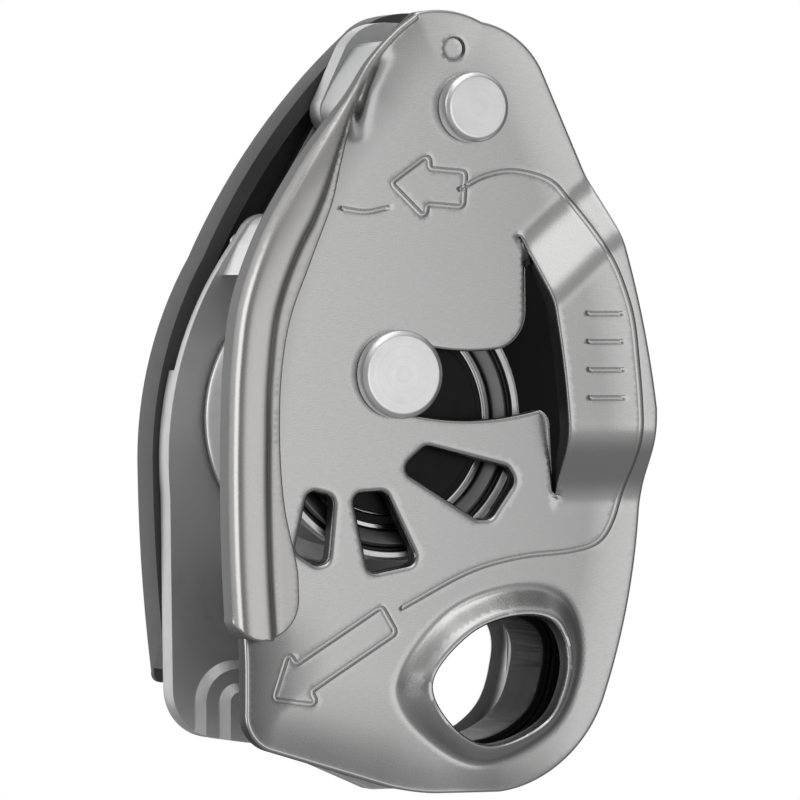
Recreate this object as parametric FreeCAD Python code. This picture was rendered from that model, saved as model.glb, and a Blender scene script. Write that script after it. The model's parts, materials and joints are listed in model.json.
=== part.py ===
"""Rope descender with a rotating sheave: two side plates, a cam that carries the wheel, and a release lever.

Frame, in millimetres: the origin is the centre of the attachment hole, midway between the two side plates.
+Z runs up to the side plate pivot, and -Y is the front, where the moving side plate is.
"""
import FreeCAD, Part
import math
import os

Vector = FreeCAD.Vector
os.makedirs("parts", exist_ok=True)

# ---- driving dimensions -----------------------------------------------------------------------------------
GAP = 20.9              # between the inner faces of the side plates
FRONT_T = 2.5           # moving side plate
REAR_T = 3.6            # fixed side plate
BRIDGE_RISE = 5.5       # how far the bridge stands in front of its plate
RIM_RISE = 4.1          # how far the attachment hole's rim stands in front
RIM_T = 1.1             # steel of the wear rim
PIVOT = (-3.1, 81.2)    # X, Z of the side plate pivot
AXLE = (-14.5, 43.4)    # X, Z of the cam axle
WHEEL = (-13.6, 37.0)   # X, Z of the wheel, eccentric to the cam axle
WHEEL_W = 19.3
WHEEL_FRONT_R = 20.0
WHEEL_REAR_R = 21.0
JOURNAL_R = 12.8        # the cam's round journal, on which the bearing sits
RACE_IN_R = 13.6
RACE_OUT_R = 14.9
WHEEL_BORE_R = 15.6
AXLE_R = 3.9
AXLE_NECK_R = 4.7
AXLE_HEAD_R = 6.25
AXLE_TAIL_R = 3.5
PIVOT_R = 3.5
PIVOT_HEAD_R = 5.0
SLOT_HALF = 4.9         # half the width of the slot that passes the axle
PIN_ORBIT = 9.0         # the drive pin's distance from the cam axle
PIN_R = 2.0
CAM_TRAVEL = 25.0       # degrees
HANDLE_TRAVEL = 110.0   # degrees
RUN = 0.05              # radial running clearance of a shaft in its bore
FREE = 0.4              # clearance between parts that pass each other

FRONT_IN = -GAP / 2                    # inner face of the moving side plate
FRONT = FRONT_IN - FRONT_T             # front face of the moving side plate
REAR_IN = GAP / 2
REAR = REAR_IN + REAR_T
BRIDGE = FRONT - BRIDGE_RISE           # front face of the bridge
RIM_TOP = FRONT - RIM_RISE             # front edge of the attachment hole's rim
HANDLE_IN = REAR + 0.75                # front edge of the lever's wall
HANDLE_SKIN = 19.5                     # inside of the lever's rear skin
HANDLE_OUT = 21.5
HUB_OUT = REAR + 3.0                   # rear face of the steel handle plate
BOTH = 60.0                            # longer than the whole stack, for cuts right through


# ---- helpers ----------------------------------------------------------------------------------------------
def at(point, y):
    """A point of the X-Z drawing plane, placed at depth y."""
    return Vector(point[0], y, point[1])


def outline(start, *steps):
    """A closed wire: each step is an end point for a line, or a middle and an end point for an arc."""
    edges = []
    here = start
    for step in steps:
        if isinstance(step[0], tuple):
            edges.append(Part.Arc(at(here, 0), at(step[0], 0), at(step[1], 0)).toShape())
            here = step[1]
        else:
            edges.append(Part.LineSegment(at(here, 0), at(step, 0)).toShape())
            here = step
    if math.dist(here, start) > 1e-6:
        edges.append(Part.LineSegment(at(here, 0), at(start, 0)).toShape())
    return Part.Wire(edges)


def smooth(points, y=0.0):
    """A smooth closed wire through a few points."""
    curve = Part.BSplineCurve()
    curve.interpolate(Points=[at(p, y) for p in points], PeriodicFlag=True)
    return Part.Wire([curve.toShape()])


def prism(wire, y_from, y_to):
    """The outline's area between two depths."""
    face = Part.Face(wire)
    face.translate(Vector(0, y_from - wire.BoundBox.YMin, 0))
    return face.extrude(Vector(0, y_to - y_from, 0))


def disc(centre, radius, y_from, y_to):
    return Part.makeCylinder(radius, y_to - y_from, at(centre, y_from), Vector(0, 1, 0))


def ring(centre, outer, inner, y_from, y_to):
    return disc(centre, outer, y_from, y_to).cut(disc(centre, inner, y_from - 1, y_to + 1))


def turned(centre, profile):
    """A turned piece about the Y direction, from its (radius, depth) profile."""
    points = [Vector(centre[0] + r, y, centre[1]) for r, y in profile]
    face = Part.Face(Part.makePolygon(points + points[:1]))
    return face.revolve(at(centre, 0), Vector(0, 1, 0), 360)


def polar(centre, radius, degrees):
    """A point round a centre; 0 points down and a positive angle turns it towards -X, like the joints."""
    a = math.radians(degrees)
    return centre[0] - radius * math.sin(a), centre[1] - radius * math.cos(a)


def arc_slot(centre, radius, half, start, end, y_from, y_to):
    """A slot of constant width along an arc, with round ends."""
    middle = (start + end) / 2
    wire = outline(
        polar(centre, radius + half, start),
        (polar(centre, radius + half, middle), polar(centre, radius + half, end)),
        polar(centre, radius - half, end),
        (polar(centre, radius - half, middle), polar(centre, radius - half, start)))
    slot = prism(wire, y_from, y_to)
    for angle in (start, end):
        slot = slot.fuse(disc(polar(centre, radius, angle), half, y_from, y_to))
    return slot.removeSplitter()


def rounded_corner(before, corner, after, radius):
    """Start, middle and end of the arc that rounds a corner between two straight runs."""
    here = Vector(*corner, 0)
    back = (Vector(*before, 0) - here).normalize()
    ahead = (Vector(*after, 0) - here).normalize()
    half = back.getAngle(ahead) / 2
    start = here + back * (radius / math.tan(half))
    end = here + ahead * (radius / math.tan(half))
    middle = here + (back + ahead).normalize() * (radius / math.sin(half) - radius)
    return (start.x, start.y), (middle.x, middle.y), (end.x, end.y)


def rounded(points, radius):
    """A closed wire through the points, with every corner rounded."""
    count = len(points)
    arcs = [rounded_corner(points[i - 1], points[i], points[(i + 1) % count], radius) for i in range(count)]
    moves = []
    for start, middle, end in arcs:
        moves.append(start)
        moves.append((middle, end))
    return outline(arcs[-1][2], *moves)


def near_plane(edge, y):
    return abs(edge.BoundBox.YMin - y) < 1e-3 and abs(edge.BoundBox.YMax - y) < 1e-3


def save(name, shape):
    merged = shape.copy().removeSplitter()
    solids = merged.Solids if merged.isValid() else shape.Solids
    assert solids and all(s.isValid() for s in solids), name
    whole = solids[0] if len(solids) == 1 else Part.makeCompound(solids)
    whole.exportStep("parts/" + name + ".step")
    print(f"{name:24s} solids {len(solids):3d}  volume {shape.Volume:9.1f}")


# ---- outlines of the plates -------------------------------------------------------------------------------
def front_outline():
    return outline(
        (-11.5, 94.5),
        ((-6.6, 94.9), (-1.3, 93.4)),
        ((4.6, 90.9), (8.1, 86.8)),
        (15.9, 70.1),
        ((20.5, 55.5), (23.8, 38.5)),
        (23.8, 26.6),
        ((22.4, 13.4), (17.9, -3.4)),
        ((12.0, -11.5), (1.0, -15.9)),
        (-9.0, -15.8),
        ((-13.6, -15.3), (-18.0, -14.2)),
        (-34.6, -9.2),
        ((-37.3, -7.2), (-38.3, -3.5)),
        (-38.3, 10.0),
        ((-38.6, 41.0), (-33.6, 62.5)),
        ((-28.0, 73.6), (-20.0, 84.0)),
        ((-16.4, 89.5), (-11.5, 94.5)))


def rear_outline():
    return outline(
        (-12.0, 90.6),
        ((-9.3, 93.3), (-5.0, 94.2)),
        ((3.6, 91.6), (8.0, 86.0)),
        (16.0, 69.6),
        ((21.2, 55.0), (23.5, 38.5)),
        (23.5, 26.6),
        ((22.0, 13.4), (17.2, -3.4)),
        ((11.6, -12.0), (1.0, -16.7)),
        (-9.0, -16.7),
        (-24.5, -10.0),
        (-33.0, -8.8),
        ((-37.4, -6.2), (-39.0, -1.6)),
        (-39.4, 26.0),
        ((-37.9, 44.5), (-31.4, 59.2)),
        (-27.6, 64.9),
        ((-26.2, 66.0), (-24.2, 66.4)),
        (-21.8, 66.4),
        ((-17.2, 71.6), (-14.4, 78.4)),
        ((-16.0, 80.6), (-15.6, 83.0)),
        (-12.0, 90.6))


HOLE = [(10.6, 1.6), (8.6, 7.8), (2.8, 9.0), (-4.5, 6.6), (-10.3, 0.0), (-7.0, -6.4), (-1.0, -9.0), (7.4, -5.6)]
RIM_FOOT = [(14.5, 3.0), (12.0, 11.4), (3.5, 13.3), (-7.6, 9.2), (-14.9, -1.0), (-9.0, -9.0), (-0.5, -12.1),
            (10.5, -6.8)]


def grown(points, amount):
    """The points of a hole's outline moved outwards."""
    return [(x * (1 + amount / math.hypot(x, z)), z * (1 + amount / math.hypot(x, z))) for x, z in points]


# ---- moving side plate ------------------------------------------------------------------------------------
FOLD = (0.76, 0.65)                    # direction of the two upper fold lines of the bridge
UPPER_FOOT = (5.1, 62.2)
UPPER_TOP = (7.7, 53.8)
LOWER_TOP = (10.2, 34.4)
LOWER_FOOT = (10.4, 26.3)
BEYOND = 22.0                          # carries the bridge past the plate's right edge, where it is trimmed
MARGIN = 3.0                           # flat plate that each bent stretch keeps beyond its two folds
FOLD_R = 1.8


def shifted(point, direction, distance):
    return point[0] + direction[0] * distance, point[1] + direction[1] * distance


def bent_stretch(foot, top, along, across):
    """Plate bent forward between two parallel fold lines, which run in the direction along."""
    rise = (top[0] - foot[0]) * across[0] + (top[1] - foot[1]) * across[1]
    corners = [(-MARGIN, FRONT), (0.0, FRONT), (rise, BRIDGE), (rise + MARGIN, BRIDGE)]
    low = rounded_corner(*corners[0:3], FOLD_R)
    high = rounded_corner(*corners[1:4], FOLD_R)
    first = shifted(foot, along, -BEYOND / 2)

    def place(point):
        return at(shifted(first, across, point[0]), point[1])

    front = [Part.makeLine(place(corners[0]), place(low[0])), Part.Arc(*[place(p) for p in low]).toShape(),
             Part.makeLine(place(low[2]), place(high[0])), Part.Arc(*[place(p) for p in high]).toShape(),
             Part.makeLine(place(high[2]), place(corners[3]))]
    depth = Vector(0, FRONT_T, 0)
    back = [edge.translated(depth) for edge in front]
    ends = [Part.makeLine(place(p), place(p) + depth) for p in (corners[0], corners[3])]
    face = Part.Face(Part.Wire(Part.__sortEdges__(front + back + ends)))
    return face.extrude(Vector(along[0], 0, along[1]) * 2 * BEYOND)


def area(points):
    """The straight-sided area of the drawing plane, through the whole plate and bridge."""
    return prism(outline(points[0], *points[1:]), BRIDGE - 1, FRONT_IN + 1)


def bridge():
    """The bridge with a margin of flat plate past each foot, and the window that it needs in the flat plate."""
    slant = (FOLD[1], -FOLD[0])
    over = shifted(UPPER_FOOT, slant, -MARGIN)
    under = shifted(LOWER_FOOT, (0, -1), MARGIN)
    seam_high = shifted(UPPER_TOP, slant, MARGIN)
    seam_low = shifted(LOWER_TOP, (0, 1), MARGIN)
    left_high = (8.2, seam_high[1])
    left_low = (9.7, seam_low[1])
    upper_plan = area([over, shifted(over, FOLD, BEYOND), shifted(seam_high, FOLD, BEYOND), seam_high, left_high,
                       UPPER_TOP, UPPER_FOOT])
    lower_plan = area([left_low, shifted(left_low, (1, 0), BEYOND), shifted(under, (1, 0), BEYOND), under,
                       LOWER_FOOT, LOWER_TOP])
    upper = bent_stretch(UPPER_FOOT, UPPER_TOP, FOLD, slant).common(upper_plan)
    lower = bent_stretch(LOWER_FOOT, LOWER_TOP, (1, 0), (0, 1)).common(lower_plan)
    middle = outline(left_high, seam_high, shifted(seam_high, FOLD, BEYOND), shifted(left_low, (1, 0), BEYOND),
                     left_low, ((9.2, 43.0), left_high))
    strip = upper.fuse([lower, prism(middle, BRIDGE, BRIDGE + FRONT_T)])
    window = area([over, shifted(over, FOLD, BEYOND), shifted(under, (1, 0), BEYOND), under, LOWER_FOOT,
                   (9.6, 33.8), (6.0, 36.0), (6.0, 54.0), UPPER_FOOT])
    return strip.common(prism(front_outline(), BRIDGE - 1, FRONT_IN + 1)), window


def hole_rim():
    """The plate drawn forward into a cone round the attachment hole."""
    outside = Part.makeLoft([smooth(RIM_FOOT, FRONT), smooth(HOLE, RIM_TOP)], True, True)
    hollow = [smooth(grown(RIM_FOOT, -1.0), FRONT_IN), smooth(HOLE, RIM_TOP + FRONT_T + 1.1)]
    under = Part.makeLoft(hollow, True, True)
    base = prism(smooth(RIM_FOOT), FRONT, FRONT_IN)
    return outside.fuse(base).cut(under)


VENTS = (
    [(-27.9, 27.2), (-23.9, 26.2), (-24.8, 17.0), (-26.8, 16.6), (-30.0, 18.6)],
    [(-21.2, 26.6), (-16.0, 26.9), (-10.8, 16.7), (-18.6, 15.3)],
    [(-13.7, 30.0), (-9.8, 33.3), (2.9, 30.2), (4.3, 28.3), (0.4, 22.9), (-1.9, 22.9)])
SPOT = (-5.5, 89.5)                    # blind dimple above the pivot
SPOT_R = 1.65
SPOT_DEPTH = 0.9
VENT_CORNER = 1.2

GROOVE_HALF = 0.38
GROOVE_DEPTH = 0.4
ROPE_LINE = [(-4.0, 69.7), (3.0, 71.7), (10.4, 70.0), (16.6, 64.0), (20.4, 54.0), (21.6, 44.0), (22.0, 33.0),
             (20.6, 24.0), (16.0, 18.4), (8.0, 16.7), (-4.0, 14.2), (-12.6, 10.6)]


def groove_area(points, half):
    """The area within a small distance of a smooth open line, cut straight through the plate."""
    curve = Part.BSplineCurve()
    curve.interpolate([at(p, 0) for p in points])
    count = 48
    first, last = curve.FirstParameter, curve.LastParameter
    side_a, side_b = [], []
    for i in range(count + 1):
        u = first + (last - first) * i / count
        p = curve.value(u)
        t = curve.tangent(u)[0]
        side_a.append(Vector(p.x - t.z * half, 0, p.z + t.x * half))
        side_b.append(Vector(p.x + t.z * half, 0, p.z - t.x * half))
    edge_a = Part.BSplineCurve()
    edge_a.interpolate(side_a)
    edge_b = Part.BSplineCurve()
    edge_b.interpolate(side_b)
    wire = Part.Wire([
        edge_a.toShape(), Part.makeLine(side_a[-1], side_b[-1]),
        edge_b.toShape(), Part.makeLine(side_b[0], side_a[0])])
    return prism(wire, BRIDGE - 1, FRONT_IN + 1)


def moving_side_plate():
    plate = prism(front_outline(), FRONT, FRONT_IN).cut(beside_rim())
    strip, window = bridge()
    plate = plate.cut(window).fuse(strip)
    reach = math.dist(PIVOT, AXLE)
    start = math.degrees(math.atan2(PIVOT[0] - AXLE[0], PIVOT[1] - AXLE[1]))
    plate = plate.cut(arc_slot(PIVOT, reach, SLOT_HALF, start, -21.0, FRONT - 1, FRONT_IN + 1))
    for vent in VENTS:
        plate = plate.cut(prism(rounded(vent, VENT_CORNER), FRONT - 1, FRONT_IN + 1))
    plate = plate.cut(prism(smooth(RIM_FOOT), FRONT - 1, FRONT_IN + 1)).fuse(hole_rim())
    plate = plate.cut(prism(smooth(HOLE), -BOTH, BOTH))
    plate = plate.cut(disc(PIVOT, 4.4, FRONT - 1, FRONT_IN + 1))
    plate = plate.cut(disc(SPOT, SPOT_R, FRONT - 1, FRONT + SPOT_DEPTH))
    groove = groove_area(ROPE_LINE, GROOVE_HALF)
    sunk = plate.copy()
    sunk.translate(Vector(0, GROOVE_DEPTH, 0))
    return plate.cut(groove.cut(sunk))


# ---- wear rim: folded steel over the moving plate's left edge ---------------------------------------------
RIM_WALL = 0.9                         # the rim's wall beside the plate's edge
# Each station: its point on the rim's outer edge, the rim's width across, and the height of its rolled bead.
RIM_STATIONS = (
    ((-39.4, 5.5), 9.6, 4.2), ((-39.8, 15.0), 9.4, 4.2), ((-40.0, 25.0), 7.2, 4.2), ((-40.0, 35.0), 6.8, 4.2),
    ((-39.6, 45.0), 6.9, 4.2), ((-38.1, 54.0), 7.2, 4.2), ((-34.9, 63.0), 7.6, 4.1), ((-30.9, 71.5), 7.2, 3.8),
    ((-25.2, 80.0), 5.2, 3.0), ((-20.8, 85.0), 3.6, 1.8), ((-17.0, 88.9), 2.6, 0.9))
RIM_SECTION = ((3.4, -2.5), (3.4, -3.6), (0.9, -3.6), (0.2, -3.1), (0.0, -2.0), (0.0, 0.45), (0.3, 0.75),
               (1.3, 1.0), (2.4, 0.97), (3.4, 0.72), (4.2, 0.45))


def rim_inward(index):
    """Unit vector at one station, across the rim and towards the plate."""
    before = RIM_STATIONS[max(index - 1, 0)][0]
    after = RIM_STATIONS[min(index + 1, len(RIM_STATIONS) - 1)][0]
    run = Vector(after[0] - before[0], 0, after[1] - before[1]).normalize()
    return Vector(run.z, 0, -run.x)


def beside_rim():
    """Everything to the left of the line where the plate's edge lies inside the fold of the rim."""
    clear = RIM_WALL + 0.25
    track = []
    for i, (point, width, bead) in enumerate(RIM_STATIONS):
        inner = at(point, 0) + rim_inward(i) * clear
        track.append((inner.x, inner.z))
    outwards = rim_inward(len(RIM_STATIONS) - 1) * -BOTH
    far = (track[-1][0] + outwards.x, track[-1][1] + outwards.z)
    return prism(outline((-BOTH, track[0][1]), *track, far, (-BOTH, far[1]), (-BOTH, track[0][1])), -BOTH, BOTH)


def rim_section(index):
    """The closed section of the folded rim at one station, in the plane across the edge."""
    point, width, bead = RIM_STATIONS[index]
    inward = rim_inward(index)
    squeeze = min(1.0, width / 7.0)

    def place(across, height):
        return at(point, FRONT) + inward * across + Vector(0, -height, 0)

    outer = []
    for across, height in RIM_SECTION:
        rise = height * bead if height > 0 else height
        outer.append((across * squeeze if height > 0 else across, rise))
    outer.append((5.2 * squeeze, RIM_T + 0.15))
    outer.append((width, RIM_T))
    wall = min(RIM_WALL, 1.4 * squeeze)
    inner = [(width, 0.02), (4.9 * squeeze, 0.02)]
    for across, share in ((3.6, 0.72), (2.4, 0.97), (1.6, 0.9)):
        inner.append((across * squeeze, max(share * bead - RIM_T - 0.1, 0.3)))
    inner += [(wall, 0.02), (wall, -2.5)]
    points = [place(a, h) for a, h in outer + inner]
    return Part.makePolygon(points + points[:1])


def wear_rim():
    rim = Part.makeLoft([rim_section(i) for i in range(len(RIM_STATIONS))], True, False)
    tongue = outline(
        (-60, 100), (-60, 9.0), (-39.8, 9.0),
        ((-38.6, 7.3), (-36.0, 6.4)), ((-31.9, 7.8), (-30.1, 12.0)),
        (-28.0, 20), (-10, 100))
    return rim.common(prism(tongue, -BOTH, BOTH))


# ---- fixed side plate -------------------------------------------------------------------------------------
TERRACE = ((-35.6, -20.0), (-35.6, 2.3), (-16.0, 2.3), (-8.6, 13.4), (10.0, 14.6), (16.6, 9.0), (17.0, -20.0))
TERRACE_CORNER = 6.0
TERRACE_STEP = 1.4
DISH_FOOT = [(15.9, 3.0), (13.0, 12.0), (3.5, 14.7), (-9.5, 11.6), (-27.0, -1.5), (-16.0, -11.5), (-1.0, -14.9),
             (11.6, -9.6)]
DISH_TOP = [(14.3, 2.6), (10.0, 10.2), (2.6, 13.6), (-7.6, 10.6), (-13.8, 0.0), (-9.6, -9.2), (-0.8, -13.4),
            (9.6, -9.4)]
DISH_FRONT = -1.5                      # front face of the dish's flat
DISH_WALL = 2.6


def terrace(inset, y_from, y_to):
    points = [(x + inset * (1 if x < 0 else -1), z - (inset if z > 0 else 0)) for x, z in TERRACE]
    return prism(rounded(points, max(TERRACE_CORNER - inset, 1.5)), y_from, y_to)


def dish(shrink, back):
    """The cone of the dish drawn forward round the attachment hole, or its hollow behind."""
    foot = smooth(grown(DISH_FOOT, -shrink), REAR_IN - 2 * TERRACE_STEP + back)
    top = smooth(grown(DISH_TOP, -shrink), DISH_FRONT + back)
    return Part.makeLoft([foot, top], True, True)


def chamfered(solid, size, y):
    edges = [e for e in solid.Edges if near_plane(e, y)]
    return solid.makeChamfer(size, edges)


def fixed_side_plate():
    border = prism(rear_outline(), -BOTH, BOTH)
    plate = prism(rear_outline(), REAR_IN, REAR)
    step_one = chamfered(terrace(0.0, REAR_IN - TERRACE_STEP, REAR_IN + 1), 1.2, REAR_IN - TERRACE_STEP)
    step_two = chamfered(terrace(3.2, REAR_IN - 2 * TERRACE_STEP, REAR_IN + 1), 1.2, REAR_IN - 2 * TERRACE_STEP)
    plate = plate.fuse([step_one.common(border), step_two.common(border), dish(0.0, 0.0).common(border)])
    hollow = terrace(2.4, REAR - 2 * TERRACE_STEP + 0.2, REAR + 1)
    plate = plate.cut(hollow.common(prism(rear_outline(), REAR_IN, REAR + 1)))
    cone = dish(DISH_WALL, REAR_T)
    plate = plate.cut(cone)
    plate = plate.cut(prism(smooth(grown(HOLE, 1.0)), -BOTH, BOTH))
    plate = plate.cut(disc(PIVOT, PIVOT_R, REAR_IN - 1, REAR + 1))
    plate = plate.cut(disc(PIVOT, 5.6, REAR - 1.3, REAR + 1))
    plate = plate.cut(disc(AXLE, AXLE_R, REAR_IN - 1, REAR + 1))
    plate = plate.cut(disc(AXLE, 6.5, REAR - 1.4, REAR + 1))
    plate = plate.cut(arc_slot(AXLE, PIN_ORBIT, PIN_R + FREE, -3.0, CAM_TRAVEL + 3.0, REAR_IN - 1, REAR + 1))
    for spot in SHOE_RIVETS + BLOCK_RIVETS:
        plate = plate.cut(disc(spot, RIVET_R, REAR_IN - 1, REAR + 1))
        countersink = ((0, REAR - 1.0), (RIVET_R, REAR - 1.0), (RIVET_R + RIVET_FLARE, REAR), (0, REAR))
        plate = plate.cut(turned(spot, countersink))
    rebate = outline((-60, 43.9), (-60, 70), (-21.5, 70), (-28.0, 59.0), ((-33.6, 50.5), (-35.9, 43.9)))
    return plate.cut(prism(rebate, REAR - 1.9, REAR + 1))


# ---- blocks between the plates ----------------------------------------------------------------------------
RIVET_R = 0.9
RIVET_FLARE = 0.6                      # how much wider a rivet's countersunk head is
SHOE_RIVETS = ((-27.2, 62.2), (-23.6, 64.3))
BLOCK_RIVETS = ((-11.2, 83.4), (2.6, 86.2))
SHOE_FRONT = -8.6
SHOE_ARC_R = 27.5                      # the rope runs between this arc and the wheel
LINER_R = 23.0                         # the rub plate keeps clear of the wheel


def shoe_point(degrees):
    """A point of the shoe's working arc, about the wheel; the angle is from straight up, towards -X."""
    return polar(WHEEL, SHOE_ARC_R, 180 - degrees)


def friction_shoe():
    wire = outline(
        (-31.3, 57.5),
        (-29.1, 61.9),
        (-27.2, 64.7),
        ((-26.0, 65.7), (-24.3, 66.0)),
        ((-22.2, 65.6), shoe_point(17.0)),
        (shoe_point(25.0), shoe_point(34.0)),
        (-31.3, 57.5))
    shoe = prism(wire, SHOE_FRONT, REAR_IN)
    for spot in SHOE_RIVETS:
        shoe = shoe.cut(disc(spot, RIVET_R, REAR_IN - 8, REAR_IN + 1))
    return shoe


def upper_block():
    wire = outline(
        (-9.8, 91.1), (3.0, 91.1), ((8.0, 87.4), (8.8, 81.2)), ((5.6, 73.4), (-3.1, 70.6)),
        ((-9.6, 72.2), (-13.4, 77.4)), ((-15.9, 80.3), (-15.7, 82.4)),
        ((-13.6, 86.4), (-11.0, 90.4)))
    block = prism(wire, FRONT_IN + 0.75, REAR_IN)
    block = block.cut(disc(PIVOT, PIVOT_R, -BOTH, BOTH))
    for spot in BLOCK_RIVETS:
        block = block.cut(disc(spot, RIVET_R, REAR_IN - 8, REAR_IN + 1))
    return block


def rivets(spots):
    made = []
    for spot in spots:
        made.append(turned(spot, ((0, REAR_IN - 8), (RIVET_R, REAR_IN - 8), (RIVET_R, REAR - 1.0),
                                  (RIVET_R + RIVET_FLARE, REAR), (0, REAR))))
    return Part.makeCompound(made)


def carabiner_bush():
    """Black liner of the attachment hole: a collar in front of the dish, with a lead-in, and a sleeve."""
    collar = prism(smooth(grown(HOLE, 2.9)), FRONT_IN + 0.6, DISH_FRONT)
    sleeve = prism(smooth(grown(HOLE, 1.0)), DISH_FRONT, DISH_FRONT + REAR_T + 0.4)
    lead_in = prism(smooth(grown(HOLE, 0.9)), -BOTH, FRONT_IN + 2.0)
    return collar.fuse(sleeve).cut(lead_in).cut(prism(smooth(grown(HOLE, -0.1)), -BOTH, BOTH))


def rope_liner():
    """Thin black rub plate on the fixed plate, from the upper notch round the right of the wheel."""
    wire = outline(
        (-21.3, 66.0),
        ((-16.7, 71.2), (-13.9, 78.2)),
        (-11.0, 71.6),
        ((-3.1, 69.6), (6.6, 73.6)),
        (14.0, 70.6),
        ((20.4, 55.0), (22.7, 38.5)),
        (22.7, 26.6),
        (21.0, 17.6),
        polar(WHEEL, LINER_R, -62.0),
        (polar(WHEEL, LINER_R, -118.0), polar(WHEEL, LINER_R, -174.0)),
        (-18.4, 63.6))
    return prism(wire, REAR_IN - 0.9, REAR_IN)


# ---- pivot of the moving plate ----------------------------------------------------------------------------
def pivot_pin():
    top = FRONT - 0.1 - 2.8
    return turned(PIVOT, ((0, top), (PIVOT_HEAD_R - 0.6, top), (PIVOT_HEAD_R, top + 0.6),
                          (PIVOT_HEAD_R, FRONT - 0.1),
                          (PIVOT_R, FRONT - 0.1), (PIVOT_R, REAR), (0, REAR)))


def pivot_bush():
    return ring(PIVOT, 4.4, PIVOT_R + RUN, FRONT, FRONT_IN)


def pivot_washer():
    return ring(PIVOT, 7.0, PIVOT_R, FRONT_IN + 0.1, FRONT_IN + 0.75)


def pivot_lock_ring():
    return ring(PIVOT, 5.6, PIVOT_R, REAR - 1.3, REAR)


# ---- cam, wheel and bearing -------------------------------------------------------------------------------
CAM_FRONT = -8.6
CAM_REAR = 8.9


def cam_axle():
    head_in = FRONT - 0.2
    head_out = head_in - 2.4
    shoulder = CAM_FRONT - 0.8
    return turned(AXLE, (
        (0, head_out), (AXLE_HEAD_R - 0.7, head_out), (AXLE_HEAD_R, head_out + 0.6), (AXLE_HEAD_R, head_in),
        (AXLE_NECK_R, head_in), (AXLE_NECK_R, shoulder), (AXLE_R, shoulder), (AXLE_R, REAR),
        (AXLE_TAIL_R, REAR), (AXLE_TAIL_R, 18.6), (AXLE_TAIL_R - 0.5, 18.6), (AXLE_TAIL_R - 0.5, 19.3),
        (AXLE_TAIL_R, 19.3), (AXLE_TAIL_R, 19.9), (0, 19.9)))


def cam():
    body = disc(WHEEL, JOURNAL_R, CAM_FRONT, CAM_REAR)
    body = body.cut(disc(AXLE, 4.6, -BOTH, BOTH))
    body = body.cut(disc(AXLE, 5.9, 5.0, BOTH))
    body = body.cut(ring(WHEEL, JOURNAL_R + 1, JOURNAL_R - 0.6, 7.7, 8.4))
    body = body.cut(disc(polar(AXLE, PIN_ORBIT, 0), PIN_R, 2.0, BOTH))
    for spot in COVER_SCREWS:
        body = body.cut(disc(spot, SCREW_R, CAM_FRONT - 1, CAM_FRONT + 5))
    return body


COVER_SCREWS = ((-21.4, 34.4), (-5.8, 34.4))
SCREW_R = 1.0


def cam_cover():
    cover = disc(WHEEL, 13.4, CAM_FRONT - 0.65, CAM_FRONT).cut(disc(AXLE, AXLE_NECK_R + FREE, -BOTH, 0))
    for spot in COVER_SCREWS:
        cover = cover.cut(disc(spot, 1.9, CAM_FRONT - 1, CAM_FRONT + 1))
    return cover


def cover_screws():
    made = []
    for spot in COVER_SCREWS:
        screw = turned(spot, ((0, CAM_FRONT - 0.65), (1.9, CAM_FRONT - 0.65), (1.9, CAM_FRONT), (SCREW_R, CAM_FRONT),
                              (SCREW_R, CAM_FRONT + 5), (0, CAM_FRONT + 5)))
        slot = Part.makeBox(3.0, 0.4, 0.5, Vector(spot[0] - 1.5, CAM_FRONT - 0.65, spot[1] - 0.25))
        made.append(screw.cut(slot))
    return Part.makeCompound(made)


def drive_pin():
    return disc(polar(AXLE, PIN_ORBIT, 0), PIN_R, 2.0, HUB_OUT - 0.4)


RACE_HALF = 7.6
ROLLERS = 30
ROLLER_R = 0.62


def rollers():
    orbit = RACE_OUT_R - ROLLER_R
    made = []
    for i in range(ROLLERS):
        made.append(disc(polar(WHEEL, orbit, 360 * i / ROLLERS), ROLLER_R, -6.3, 6.3))
    return Part.makeCompound(made)


def bearing_seals():
    front = ring(WHEEL, RACE_OUT_R, RACE_IN_R + 0.15, -7.5, -6.6)
    rear = ring(WHEEL, RACE_OUT_R, RACE_IN_R + 0.15, 6.6, 7.5)
    return Part.makeCompound([front, rear])


def wheel():
    half = WHEEL_W / 2
    return turned(WHEEL, (
        (WHEEL_BORE_R, -8.9), (16.0, -9.2), (17.6, -9.55), (18.1, -9.2), (18.3, -8.9), (18.7, -8.9), (18.8, -half),
        (19.6, -half), (WHEEL_FRONT_R, -9.3), (WHEEL_FRONT_R, -8.5), (19.7, -8.1), (18.7, -7.2), (17.6, -4.6),
        (17.2, -2.4), (17.2, 2.4), (17.6, 4.6), (18.6, 6.8), (20.6, 8.1), (WHEEL_REAR_R, 8.5), (WHEEL_REAR_R, 9.3),
        (20.6, half), (18.6, half), (18.2, 9.0), (WHEEL_BORE_R, 9.0)))


# ---- springs ----------------------------------------------------------------------------------------------
def torsion_spring(centre, radius, wire_r, y_from, y_to, turns):
    """Coils about the Y direction."""
    length = y_to - y_from - 2 * wire_r
    helix = Part.makeHelix(length / turns, length, radius)
    helix.rotate(Vector(0, 0, 0), Vector(1, 0, 0), -90)
    helix.translate(at(centre, y_from + wire_r))
    start = helix.Edges[0].valueAt(helix.Edges[0].FirstParameter)
    along = helix.Edges[0].tangentAt(helix.Edges[0].FirstParameter)
    section = Part.Wire([Part.makeCircle(wire_r, start, along)])
    return Part.Wire(helix).makePipeShell([section], True, True)


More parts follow.
